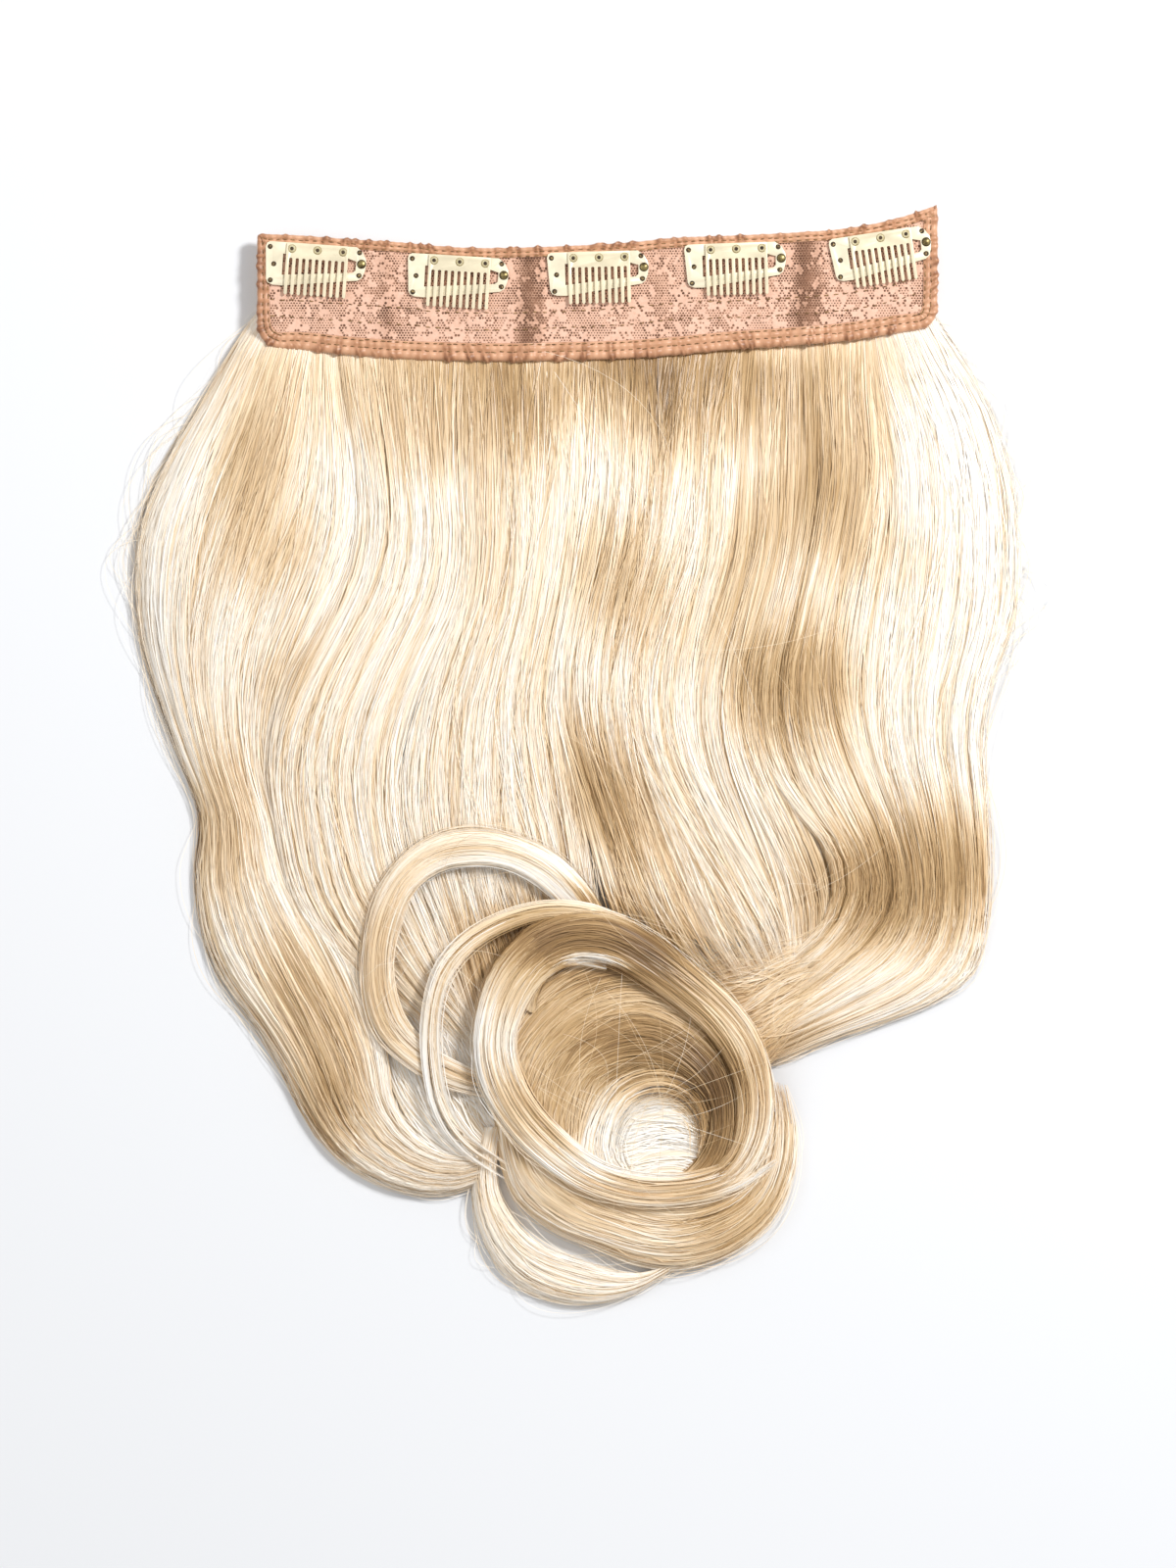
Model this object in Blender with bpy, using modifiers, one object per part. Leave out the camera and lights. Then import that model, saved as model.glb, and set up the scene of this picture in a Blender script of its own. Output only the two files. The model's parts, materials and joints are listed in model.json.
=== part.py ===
"""A clip-in hair extension, lying flat with its comb clips upwards.

A one-piece fall of wavy hair hangs from a lace band, which is bound all round with
gathered satin tape. Five snap comb clips are sewn along the band. The top rail of each
clip's stamped frame twists, and lifts the comb that its three eyelets hold.

Lengths are in metres. X runs along the band, the hair falls towards -Y, and +Z is up.
"""
import math
from collections import namedtuple

import bmesh
import bpy
from mathutils import Vector

# Band
BAND_LENGTH = 0.254
BAND_DEPTH = 0.0425
BAND_LIFT = 0.0070
LEFT_END = -0.493
RIGHT_END = 0.500
PANEL_EDGE = 0.0010
COLUMN_PITCH = 0.0060
LEFT_CORNER_RADIUS = 0.0090
RIGHT_CORNER_RADIUS = 0.0080
CORNER_STEPS = 4
SIDE_STEPS = 5

# Satin binding, whose flanges lie over and under the panel's edge
TAPE_WALL = 0.0010
TAPE_TOP_WIDTH = 0.0038
TAPE_LEFT_WIDTH = 0.0046
TAPE_RIGHT_WIDTH = 0.0053
TAPE_BOTTOM_WIDTH = 0.0066
TAPE_GATHER = 0.0005
TAPE_PUCKER = 0.0003
FOLD_HEIGHT = 0.0018

# Clearances between pieces that touch on the real thing, and the distance within which
# points are one
SEAT_GAP = 0.0003
CLIP_GAP = 0.0002
WELD_DISTANCE = 0.000005

# Snap comb clip: its heel up to the comb, the comb, and its tip past the comb
CLIP_HEIGHT = 0.0161
CLIP_TIP = 0.0069
STEEL = 0.0006
COMB_STEEL = 0.0005
COMB_START = 0.0078
COMB_WIDTH = 0.0229
COMB_SPINE = 0.0057
COMB_DROP = 0.0195
COMB_BOW = 0.0004
COMB_CORNER = 0.0004
TOOTH_COUNT = 10
TOOTH_WIDTH = 0.0012
TOOTH_FILLET = 0.0003
RAIL_DEPTH = 0.0043
RAIL_INSET = 0.0006
SEWING_HOLE = 0.0017
EYELET_FLANGE = 0.0029
EYELET_BARREL = 0.0017
EYELET_BORE = 0.0011
EYELET_INSET = 0.00195
EYELET_DROP = 0.0023
EYELET_RIM = 0.00025
RIVET_HEAD = 0.0029
RIVET_SHANK = 0.0014
RIVET_RISE = 0.0005
HOLE_SIDES = 8
TURNED_SIDES = 10

# Hair
HAIR_FALL = 0.254
FALL_HEIGHT = 0.0145
FALL_MARGIN = 0.0012
WEFT_INSET = 0.0045

# How high the grooves between the fall's locks lie, and the locks themselves: from the
# fall's side inwards, and where a lock ends (shares of the fall's own height there)
GROOVE = 0.74
SIDE_SHARES = (0.42, 0.80, 0.94, 1.00)
END_SHARE = 0.50
FLAT_LINES = 3

# A curl's section: how far its crown reaches across, and how deep its grooves and its
# flat underside lie (shares of half its width and depth)
CROWN_REACH = 0.72
CURL_GROOVE = 0.72
UNDERSIDE_REACH = 0.60
UNDERSIDE_DEPTH = 0.80
LOCK_WIDTH = 0.020
LOCK_DEPTH = 0.0070
CURL_HEIGHT = 0.026

# The band's edges: how far along (share of BAND_LENGTH from the middle), and where the
# top and bottom edges run (shares of BAND_DEPTH from the middle line).
EdgeRow = namedtuple("EdgeRow", "along top bottom")
EDGE_ROWS = [
    EdgeRow(-0.50, 0.603, -0.400),
    EdgeRow(-0.44, 0.591, -0.410),
    EdgeRow(-0.36, 0.556, -0.457),
    EdgeRow(-0.28, 0.526, -0.491),
    EdgeRow(-0.20, 0.483, -0.507),
    EdgeRow(-0.12, 0.479, -0.513),
    EdgeRow(-0.04, 0.496, -0.503),
    EdgeRow(0.04, 0.521, -0.490),
    EdgeRow(0.12, 0.568, -0.456),
    EdgeRow(0.20, 0.587, -0.410),
    EdgeRow(0.28, 0.609, -0.380),
    EdgeRow(0.36, 0.645, -0.338),
    EdgeRow(0.44, 0.735, -0.269),
    EdgeRow(0.50, 0.855, -0.209),
]

# Each clip's top left corner (shares of BAND_LENGTH and BAND_DEPTH) and its heading.
ClipRow = namedtuple("ClipRow", "along across heading")
CLIP_ROWS = [
    ClipRow(-0.479, 0.535, -4.1),
    ClipRow(-0.272, 0.430, -3.5),
    ClipRow(-0.070, 0.430, 1.5),
    ClipRow(0.130, 0.500, 2.0),
    ClipRow(0.340, 0.545, 8.5),
]

# Folds that run across the band, each in the space after a clip: how much of that space
# the fold takes, and how high it stands (share of FOLD_HEIGHT).
FoldRow = namedtuple("FoldRow", "after_clip spread rise")
FOLD_ROWS = [
    FoldRow(1, 0.70, 0.35),
    FoldRow(2, 0.62, 0.90),
    FoldRow(3, 0.70, 0.35),
    FoldRow(4, 0.62, 1.00),
]

# The clip's frame. A tip point lies past the comb (share of CLIP_TIP) and a heel point
# before it (share of COMB_START, from the left end), each below the top edge by a share of
# CLIP_HEIGHT. They run clockwise from the right neck to the left one.
TipPoint = namedtuple("TipPoint", "past down")
HeelPoint = namedtuple("HeelPoint", "along down")
FRAME_TIP = [
    TipPoint(0.43, 0.000),
    TipPoint(0.755, 0.105),
    TipPoint(0.955, 0.255),
    TipPoint(1.00, 0.390),
    TipPoint(0.935, 0.560),
    TipPoint(0.81, 0.700),
    TipPoint(0.59, 0.768),
    TipPoint(-0.145, 0.808),
]
FRAME_HEEL = [
    HeelPoint(0.87, 1.000),
    HeelPoint(0.435, 0.995),
    HeelPoint(0.195, 0.950),
    HeelPoint(0.115, 0.870),
    HeelPoint(0.00, 0.120),
    HeelPoint(0.05, 0.040),
    HeelPoint(0.195, 0.000),
]
WINDOW_CORNER_DOWN = 0.755
WINDOW_TIP = [
    TipPoint(0.29, 0.595),
    TipPoint(0.44, 0.540),
    TipPoint(0.455, 0.330),
]
HEEL_HOLES = [
    HeelPoint(0.21, 0.135),
    HeelPoint(0.435, 0.515),
    HeelPoint(0.34, 0.890),
]
TIP_HOLES = [
    TipPoint(0.59, 0.130),
    TipPoint(0.61, 0.650),
]
RIVET_PLACE = TipPoint(0.74, 0.385)

# The rivet's domed head: where its crown turns down, as shares of its radius and rise
HEAD_CROWN = 0.64
HEAD_CROWN_RISE = 0.80
HEAD_RIM_RISE = 0.20

# The main fall of hair, a row for each level. The first column says how far below the
# band it lies (share of HAIR_FALL), the second how high it stands (share of FALL_HEIGHT),
# and the last where its locks run there (shares of BAND_LENGTH from the middle, left to
# right). None marks a lock that has left the fall.
FallRow = namedtuple("FallRow", "down rise locks")
ROOT_LOCKS = (
    -0.470, -0.430, -0.360, -0.290, -0.200, -0.100, -0.010,
    0.120, 0.230, 0.310, 0.385, 0.450, 0.480,
)
SIDE_LOCKS = (
    -0.497, -0.445, -0.370, -0.295, -0.200, -0.100, -0.010,
    0.125, 0.240, 0.315, 0.388, 0.465, 0.500,
)
FALL_ROWS = [
    FallRow(0.00, None, (
        -0.546, -0.463, -0.381, -0.303, -0.203, -0.103, -0.010,
        0.133, 0.247, 0.319, 0.390, 0.483, 0.540)),
    FallRow(0.09, 0.78, (
        -0.596, -0.499, -0.376, -0.287, -0.184, -0.086, 0.004,
        0.149, 0.240, 0.301, 0.396, 0.513, 0.584)),
    FallRow(0.18, 0.95, (
        -0.646, -0.531, -0.356, -0.263, -0.170, -0.079, 0.007,
        0.139, 0.214, 0.276, 0.394, 0.526, 0.611)),
    FallRow(0.27, 1.00, (
        -0.669, -0.553, -0.356, -0.244, -0.163, -0.086, -0.007,
        0.087, 0.164, 0.230, 0.373, 0.519, 0.620)),
    FallRow(0.36, 0.97, (
        -0.667, -0.567, -0.389, -0.264, -0.189, -0.116, -0.030,
        0.033, 0.119, 0.203, 0.340, 0.497, 0.610)),
    FallRow(0.45, 0.93, (
        -0.649, -0.574, -0.457, -0.324, -0.239, -0.150, -0.046,
        0.000, 0.091, 0.193, 0.333, 0.484, 0.584)),
    FallRow(0.54, 0.90, (
        -0.620, -0.570, -0.513, -0.389, -0.291, -0.160, -0.053,
        -0.004, 0.083, 0.199, 0.347, 0.490, 0.567)),
    FallRow(0.63, 0.88, (
        -0.589, -0.550, -0.517, -0.439, -0.339, -0.161, -0.049,
        0.003, 0.110, 0.233, 0.383, 0.507, 0.570)),
    FallRow(0.72, 0.86, (
        None, None, -0.463, -0.424, -0.353, -0.154, -0.034,
        0.024, 0.165, 0.293, None, None, None)),
    FallRow(0.81, 0.80, (
        None, None, -0.431, -0.396, -0.331, -0.139, -0.013,
        0.054, 0.195, None, None, None, None)),
    FallRow(0.90, 0.66, (
        None, None, None, -0.346, -0.289, -0.124, 0.007,
        0.083, None, None, None, None, None)),
    FallRow(0.98, 0.45, (
        None, None, None, None, -0.239, -0.117, 0.019,
        None, None, None, None, None, None)),
]

# Locks and curls that leave the fall. Each row: across (share of BAND_LENGTH from the
# middle), down (share of HAIR_FALL below the band), height of the lock's middle (share
# of CURL_HEIGHT), width (share of LOCK_WIDTH) and depth (share of LOCK_DEPTH).
LockRow = namedtuple("LockRow", "across down height width depth")
Lock = namedtuple("Lock", "name closed ridges stations rows")
LOCKS = [
    Lock("left_curl", False, 2, 14, [
        LockRow(-0.535, 0.560, 0.22, 1.00, 0.80),
        LockRow(-0.512, 0.690, 0.24, 1.75, 1.30),
        LockRow(-0.500, 0.776, 0.24, 2.05, 1.40),
        LockRow(-0.475, 0.850, 0.24, 2.35, 1.40),
        LockRow(-0.438, 0.920, 0.24, 2.50, 1.40),
        LockRow(-0.402, 0.985, 0.24, 2.15, 1.40),
        LockRow(-0.390, 1.047, 0.24, 1.50, 1.35),
        LockRow(-0.380, 1.110, 0.22, 1.00, 1.20),
        LockRow(-0.346, 1.158, 0.22, 0.86, 1.20),
        LockRow(-0.281, 1.186, 0.22, 0.78, 1.10),
        LockRow(-0.210, 1.190, 0.22, 0.60, 1.00),
        LockRow(-0.150, 1.176, 0.22, 0.42, 0.90),
    ]),
    Lock("inner_sweep", False, 2, 9, [
        LockRow(0.030, 0.560, 0.22, 1.60, 0.90),
        LockRow(0.075, 0.640, 0.26, 1.90, 1.20),
        LockRow(0.130, 0.715, 0.28, 2.00, 1.30),
        LockRow(0.190, 0.785, 0.28, 1.90, 1.30),
        LockRow(0.245, 0.840, 0.26, 1.70, 1.20),
        LockRow(0.290, 0.900, 0.22, 1.20, 1.00),
    ]),
    Lock("right_flick", False, 3, 11, [
        LockRow(0.395, 0.520, 0.24, 4.20, 1.20),
        LockRow(0.420, 0.620, 0.24, 3.75, 1.40),
        LockRow(0.443, 0.710, 0.24, 3.30, 1.50),
        LockRow(0.452, 0.780, 0.25, 3.00, 1.50),
        LockRow(0.446, 0.845, 0.25, 2.85, 1.50),
        LockRow(0.413, 0.890, 0.25, 2.55, 1.50),
        LockRow(0.358, 0.915, 0.24, 2.15, 1.40),
        LockRow(0.303, 0.938, 0.22, 1.65, 1.20),
        LockRow(0.262, 0.962, 0.20, 0.80, 0.80),
    ]),
    Lock("upper_ring", False, 1, 14, [
        LockRow(-0.020, 0.790, 0.45, 0.50, 0.60),
        LockRow(-0.081, 0.740, 0.56, 0.50, 0.60),
        LockRow(-0.150, 0.705, 0.60, 0.46, 0.60),
        LockRow(-0.224, 0.711, 0.60, 0.46, 0.60),
        LockRow(-0.290, 0.752, 0.58, 0.46, 0.65),
        LockRow(-0.324, 0.833, 0.52, 0.50, 0.70),
        LockRow(-0.328, 0.910, 0.44, 0.56, 0.80),
        LockRow(-0.303, 0.985, 0.36, 0.60, 0.90),
        LockRow(-0.240, 1.035, 0.36, 0.60, 0.90),
        LockRow(-0.160, 1.055, 0.42, 0.50, 0.80),
    ]),
    Lock("thin_ring", False, 1, 12, [
        LockRow(0.019, 0.812, 0.60, 0.40, 0.50),
        LockRow(-0.067, 0.797, 0.68, 0.34, 0.50),
        LockRow(-0.153, 0.819, 0.70, 0.32, 0.50),
        LockRow(-0.217, 0.875, 0.66, 0.32, 0.50),
        LockRow(-0.241, 0.950, 0.56, 0.34, 0.55),
        LockRow(-0.239, 1.040, 0.40, 0.36, 0.60),
        LockRow(-0.224, 1.104, 0.30, 0.36, 0.60),
        LockRow(-0.181, 1.154, 0.26, 0.36, 0.60),
        LockRow(-0.130, 1.190, 0.26, 0.36, 0.60),
    ]),
    Lock("great_ring", True, 2, 18, [
        LockRow(0.010, 0.835, 0.76, 0.85, 0.85),
        LockRow(0.120, 0.885, 0.74, 0.85, 0.85),
        LockRow(0.205, 0.965, 0.66, 0.80, 0.85),
        LockRow(0.232, 1.060, 0.56, 0.75, 0.85),
        LockRow(0.212, 1.155, 0.50, 0.72, 0.85),
        LockRow(0.135, 1.208, 0.46, 0.72, 0.85),
        LockRow(0.047, 1.207, 0.46, 0.75, 0.85),
        LockRow(-0.053, 1.165, 0.50, 0.80, 0.85),
        LockRow(-0.124, 1.090, 0.56, 0.80, 0.85),
        LockRow(-0.150, 0.995, 0.64, 0.80, 0.85),
        LockRow(-0.120, 0.905, 0.72, 0.80, 0.85),
        LockRow(-0.060, 0.850, 0.76, 0.82, 0.85),
    ]),
    Lock("inner_ring", True, 1, 12, [
        LockRow(0.083, 0.984, 0.42, 1.60, 1.20),
        LockRow(0.169, 1.026, 0.40, 1.15, 1.20),
        LockRow(0.183, 1.118, 0.38, 0.80, 1.20),
        LockRow(0.154, 1.190, 0.34, 0.70, 1.20),
        LockRow(0.083, 1.221, 0.32, 0.80, 1.20),
        LockRow(-0.003, 1.197, 0.34, 1.20, 1.20),
        LockRow(-0.050, 1.118, 0.38, 1.60, 1.20),
        LockRow(-0.013, 1.023, 0.40, 1.70, 1.20),
    ]),
    Lock("lower_curl", False, 1, 12, [
        LockRow(-0.145, 1.080, 0.30, 0.60, 0.90),
        LockRow(-0.142, 1.160, 0.28, 0.64, 0.90),
        LockRow(-0.110, 1.225, 0.26, 0.66, 0.90),
        LockRow(-0.045, 1.265, 0.24, 0.68, 0.90),
        LockRow(0.035, 1.292, 0.23, 0.70, 0.90),
        LockRow(0.115, 1.300, 0.23, 0.70, 0.90),
        LockRow(0.190, 1.275, 0.24, 0.66, 0.90),
        LockRow(0.250, 1.225, 0.25, 0.62, 0.90),
        LockRow(0.272, 1.155, 0.26, 0.52, 0.80),
        LockRow(0.258, 1.080, 0.30, 0.40, 0.70),
    ]),
    Lock("bottom_curl", False, 1, 9, [
        LockRow(-0.160, 1.190, 0.18, 0.34, 0.70),
        LockRow(-0.163, 1.240, 0.17, 0.42, 0.75),
        LockRow(-0.140, 1.290, 0.16, 0.52, 0.80),
        LockRow(-0.085, 1.335, 0.16, 0.62, 0.80),
        LockRow(-0.020, 1.354, 0.16, 0.66, 0.80),
        LockRow(0.050, 1.346, 0.16, 0.60, 0.80),
        LockRow(0.115, 1.318, 0.17, 0.46, 0.70),
    ]),
]

# Lengths and heights that several pieces share
CLIP_LENGTH = COMB_START + COMB_WIDTH + CLIP_TIP
PANEL_UNDERSIDE = BAND_LIFT + TAPE_WALL + SEAT_GAP
BAND_TOP = PANEL_UNDERSIDE + PANEL_EDGE + SEAT_GAP + TAPE_WALL
CLIP_SEAT = BAND_TOP + SEAT_GAP
HAIR_BED = BAND_LIFT - SEAT_GAP

# Finishes: base colour, roughness, metallic
Finish = namedtuple("Finish", "colour roughness metallic")
FINISHES = {
    "blonde_hair": Finish((0.83, 0.68, 0.45), 0.35, 0.0),
    "pink_lace": Finish((0.80, 0.50, 0.40), 0.80, 0.0),
    "satin_tape": Finish((0.72, 0.42, 0.28), 0.50, 0.0),
    "cream_enamel": Finish((0.86, 0.80, 0.62), 0.30, 0.3),
    "aged_brass": Finish((0.42, 0.34, 0.18), 0.35, 0.9),
}


def clear_scene():
    for old in list(bpy.data.objects):
        bpy.data.objects.remove(old, do_unlink=True)


def new_collection(name):
    group = bpy.data.collections.new(name)
    bpy.context.scene.collection.children.link(group)
    return group


def material(name):
    if name in bpy.data.materials:
        return bpy.data.materials[name]
    finish = FINISHES[name]
    made = bpy.data.materials.new(name)
    made.use_nodes = True
    shader = made.node_tree.nodes["Principled BSDF"]
    shader.inputs["Base Color"].default_value = (*finish.colour, 1.0)
    shader.inputs["Roughness"].default_value = finish.roughness
    shader.inputs["Metallic"].default_value = finish.metallic
    return made


def add_object(name, data, finish, group, parent):
    thing = bpy.data.objects.new(name, data)
    data.materials.append(material(finish))
    group.objects.link(thing)
    thing.parent = parent
    return thing


def add_empty(name, group, parent=None):
    empty = bpy.data.objects.new(name, None)
    empty.empty_display_size = 0.01
    group.objects.link(empty)
    empty.parent = parent
    return empty


def mesh_from(bm, name):
    mesh = bpy.data.meshes.new(name)
    bm.to_mesh(mesh)
    bm.free()
    return mesh


def hermite(first, second, slope_in, slope_out, share):
    """A cubic step from first to second, with the given end slopes."""
    square = share * share
    cube = square * share
    return (
        (2 * cube - 3 * square + 1) * first
        + (cube - 2 * square + share) * slope_in
        + (3 * square - 2 * cube) * second
        + (cube - square) * slope_out
    )


def smooth_route(points, closed, count):
    """Even stations on a smooth curve through the points, which are equal tuples."""
    total = len(points)
    spans = total if closed else total - 1

    def at(index):
        return points[index % total] if closed else points[max(0, min(total - 1, index))]

    stations = []
    last = count if closed else count - 1
    for step in range(count):
        place = step / last * spans
        span = min(int(place), spans - 1)
        share = place - span
        before, start, end, after = (at(span + k) for k in (-1, 0, 1, 2))
        stations.append(tuple(
            hermite(s, e, (e - b) / 2, (a - s) / 2, share)
            for b, s, e, a in zip(before, start, end, after)
        ))
    return stations


def edge_height(column, along):
    """Where the band's top or bottom edge runs, at a share of the band's length."""
    rows = EDGE_ROWS
    along = max(rows[0].along, min(rows[-1].along, along))
    span = 0
    while span < len(rows) - 2 and rows[span + 1].along < along:
        span += 1
    values = [getattr(row, column) for row in rows]
    start, end = values[span], values[span + 1]
    before = values[max(0, span - 1)]
    after = values[min(len(rows) - 1, span + 2)]
    share = (along - rows[span].along) / (rows[span + 1].along - rows[span].along)
    return hermite(start, end, (end - before) / 2, (after - start) / 2, share) * BAND_DEPTH


def clip_span(index):
    """Where a clip begins and ends along the band."""
    row = CLIP_ROWS[index]
    start = row.along * BAND_LENGTH
    return start, start + CLIP_LENGTH * math.cos(math.radians(row.heading))


def fold_places():
    """Each fold's middle, half spread and rise."""
    places = []
    for fold in FOLD_ROWS:
        start = clip_span(fold.after_clip - 1)[1]
        end = clip_span(fold.after_clip)[0]
        reach = (end - start) * fold.spread / 2
        places.append(((start + end) / 2, reach, fold.rise * FOLD_HEIGHT))
    return places


def fold_rise(x):
    rise = 0.0
    for middle, reach, height in fold_places():
        offset = abs(x - middle) / reach
        if offset < 1:
            rise += height * (1 - offset)
    return rise


def band_columns():
    """Places along the band where its strip is divided, with three for each fold."""
    start = LEFT_END * BAND_LENGTH + LEFT_CORNER_RADIUS
    end = RIGHT_END * BAND_LENGTH - RIGHT_CORNER_RADIUS
    wanted = [start, end]
    for middle, reach, _ in fold_places():
        wanted += [middle - reach, middle, middle + reach]
    wanted.sort()
    columns = []
    for left, right in zip(wanted, wanted[1:]):
        parts = max(1, round((right - left) / COLUMN_PITCH))
        columns += [left + (right - left) * k / parts for k in range(parts)]
    columns.append(end)
    return columns


Outline = namedtuple("Outline", "points widths corners top_count side_counts")


def corner_arc(centre, radius, first_angle):
    """The inner stations of a rounded lower corner, over a quarter turn clockwise."""
    arc = []
    for step in range(CORNER_STEPS):
        angle = math.radians(first_angle - 90 * step / CORNER_STEPS)
        arc.append((centre[0] + radius * math.cos(angle), centre[1] + radius * math.sin(angle)))
    return arc


def band_outline():
    """The band's outer edge, clockwise from its top left corner."""
    columns = band_columns()
    left = LEFT_END * BAND_LENGTH
    right = RIGHT_END * BAND_LENGTH
    top = [(left, edge_height("top", LEFT_END))]
    top += [(x, edge_height("top", x / BAND_LENGTH)) for x in columns]
    top.append((right, edge_height("top", RIGHT_END)))
    bottom = [(x, edge_height("bottom", x / BAND_LENGTH)) for x in reversed(columns)]

    right_low = bottom[0][1] + RIGHT_CORNER_RADIUS
    right_side = side_stations(right, top[-1][1], right_low)
    right_side += corner_arc((columns[-1], right_low), RIGHT_CORNER_RADIUS, 0)
    left_low = bottom[-1][1] + LEFT_CORNER_RADIUS
    left_side = corner_arc((columns[0], left_low), LEFT_CORNER_RADIUS, 270)[1:]
    left_side.append((left, left_low))
    left_side += reversed(side_stations(left, top[0][1], left_low))

    points = top + right_side + bottom + left_side
    widths = [TAPE_TOP_WIDTH] * (len(top) - 1)
    widths += side_widths(TAPE_RIGHT_WIDTH, TAPE_BOTTOM_WIDTH, len(right_side) + 1)
    widths += [TAPE_BOTTOM_WIDTH] * (len(bottom) - 1)
    widths += side_widths(TAPE_BOTTOM_WIDTH, TAPE_LEFT_WIDTH, len(left_side) + 1)
    corners = (0, len(top) - 1)
    return Outline(points, widths, corners, len(top), (len(right_side), len(left_side)))


def side_stations(x, high, low):
    """Stations down a straight side, without its two ends."""
    return [(x, high + (low - high) * k / SIDE_STEPS) for k in range(1, SIDE_STEPS)]


def side_widths(first, last, count):
    """The tape's width on each stretch, from one edge's width to the next one's."""
    return [first + (last - first) * k / (count - 1) for k in range(count)]


def inward(outline, index):
    """The inward directions of the two stretches that meet at a station."""
    points = outline.points
    here = Vector(points[index])
    back = (here - Vector(points[index - 1])).normalized()
    ahead = (Vector(points[(index + 1) % len(points)]) - here).normalized()
    return Vector((back.y, -back.x)), Vector((ahead.y, -ahead.x))


def inset_point(outline, index, distance=None, extra=0.0):
    """A station moved inwards, by one distance or by its two stretches' own widths."""
    first, second = inward(outline, index)
    if distance is None:
        before = outline.widths[index - 1] + extra
        after = outline.widths[index] + extra
    else:
        before = after = distance
    here = Vector(outline.points[index])
    turn = first.x * second.y - first.y * second.x
    if index in outline.corners:
        x = (before * second.y - after * first.y) / turn
        y = (after * first.x - before * second.x) / turn
        return here + Vector((x, y))
    middle = (first + second).normalized()
    return here + middle * ((before + after) / 2 / middle.dot(first))


def inset_ring(outline, distance=None, extra=0.0):
    return [inset_point(outline, k, distance, extra) for k in range(len(outline.points))]


def add_ring(bm, places, height):
    """Vertices at one height, lifted where the band folds."""
    return [bm.verts.new((p[0], p[1], height + fold_rise(p[0]))) for p in places]


def bridge(bm, first, second):
    """Quads between two closed rings of equal count."""
    count = len(first)
    for k in range(count):
        ahead = (k + 1) % count
        bm.faces.new((first[k], first[ahead], second[ahead], second[k]))


def ladder(bm, outline, ring):
    """Fill a ring with a rung at each column and one face at each end."""
    top = outline.top_count
    right, left = outline.side_counts
    columns = top - 2
    upper = ring[1:top - 1]
    lower = ring[top + right:top + right + columns][::-1]
    for k in range(columns - 1):
        bm.faces.new((upper[k], upper[k + 1], lower[k + 1], lower[k]))
    bm.faces.new([upper[-1], ring[top - 1], *ring[top:top + right], lower[-1]])
    bm.faces.new([lower[0], *ring[top + right + columns:], ring[0], upper[0]])


def lace_panel(outline, group, parent):
    """The band's cloth: a thin edge inside the binding and a raised middle between it."""
    edge = inset_ring(outline, TAPE_WALL + TAPE_GATHER + SEAT_GAP)
    middle = inset_ring(outline, extra=SEAT_GAP)
    bm = bmesh.new()
    rings = [
        add_ring(bm, edge, PANEL_UNDERSIDE),
        add_ring(bm, edge, PANEL_UNDERSIDE + PANEL_EDGE),
        add_ring(bm, middle, PANEL_UNDERSIDE + PANEL_EDGE),
        add_ring(bm, middle, BAND_TOP),
    ]
    for low, high in zip(rings, rings[1:]):
        bridge(bm, low, high)
    ladder(bm, outline, rings[0])
    ladder(bm, outline, rings[-1])
    bmesh.ops.recalc_face_normals(bm, faces=bm.faces)
    add_object("lace_panel", mesh_from(bm, "lace_panel"), "pink_lace", group, parent)


def binding(outline, group, parent):
    """The folded tape: a channel round the panel's edge, gathered at every other station."""
    count = len(outline.points)
    crease = TAPE_WALL + TAPE_GATHER
    bm = bmesh.new()
    sections = []
    for k in range(count):
        gathered = k % 2 == 1 and k not in outline.corners
        skin = TAPE_GATHER if gathered else 0.0
        top = BAND_TOP - (TAPE_PUCKER if gathered else 0.0)
        profile = [
            (None, top), (skin, top), (skin, BAND_LIFT), (None, BAND_LIFT),
            (None, BAND_LIFT + TAPE_WALL), (crease, BAND_LIFT + TAPE_WALL),
            (crease, BAND_TOP - TAPE_WALL), (None, BAND_TOP - TAPE_WALL),
        ]
        section = []
        for distance, height in profile:
            place = inset_point(outline, k, distance)
            section.append(bm.verts.new((place.x, place.y, height + fold_rise(place.x))))
        sections.append(section)
    for k in range(count):
        bridge(bm, sections[k], sections[(k + 1) % count])
    bmesh.ops.recalc_face_normals(bm, faces=bm.faces)
    add_object("binding", mesh_from(bm, "binding"), "satin_tape", group, parent)


def flat_plate(name, outlines, thickness):
    """A flat outline with its holes, as a filled curve that stands on its underside."""
    curve = bpy.data.curves.new(name, "CURVE")
    curve.dimensions = "2D"
    curve.fill_mode = "BOTH"
    curve.extrude = thickness / 2
    for outline in outlines:
        spline = curve.splines.new("POLY")
        spline.points.add(len(outline) - 1)
        for point, (x, y) in zip(spline.points, outline):
            point.co = (x, y, 0.0, 1.0)
        spline.use_cyclic_u = True
    return curve


def round_hole(x, y, diameter):
    turn = 2 * math.pi / HOLE_SIDES
    return [
        (x + diameter / 2 * math.cos(turn * (k + 0.5)), y + diameter / 2 * math.sin(turn * (k + 0.5)))
        for k in range(HOLE_SIDES)
    ]


def tip_place(point):
    return COMB_START + COMB_WIDTH + point.past * CLIP_TIP, -point.down * CLIP_HEIGHT


def heel_place(point):
    return point.along * COMB_START, -point.down * CLIP_HEIGHT


def rail_ends():
    """Where the turning part of the rail begins and ends, under the comb."""
    return COMB_START + RAIL_INSET, COMB_START + COMB_WIDTH - RAIL_INSET


def eyelet_places():
    """One eyelet near each end of the comb and one at its middle."""
    middle = COMB_START + COMB_WIDTH / 2
    reach = COMB_WIDTH / 2 - EYELET_INSET
    return [(middle + k * reach, -EYELET_DROP) for k in (-1, 0, 1)]


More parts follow.
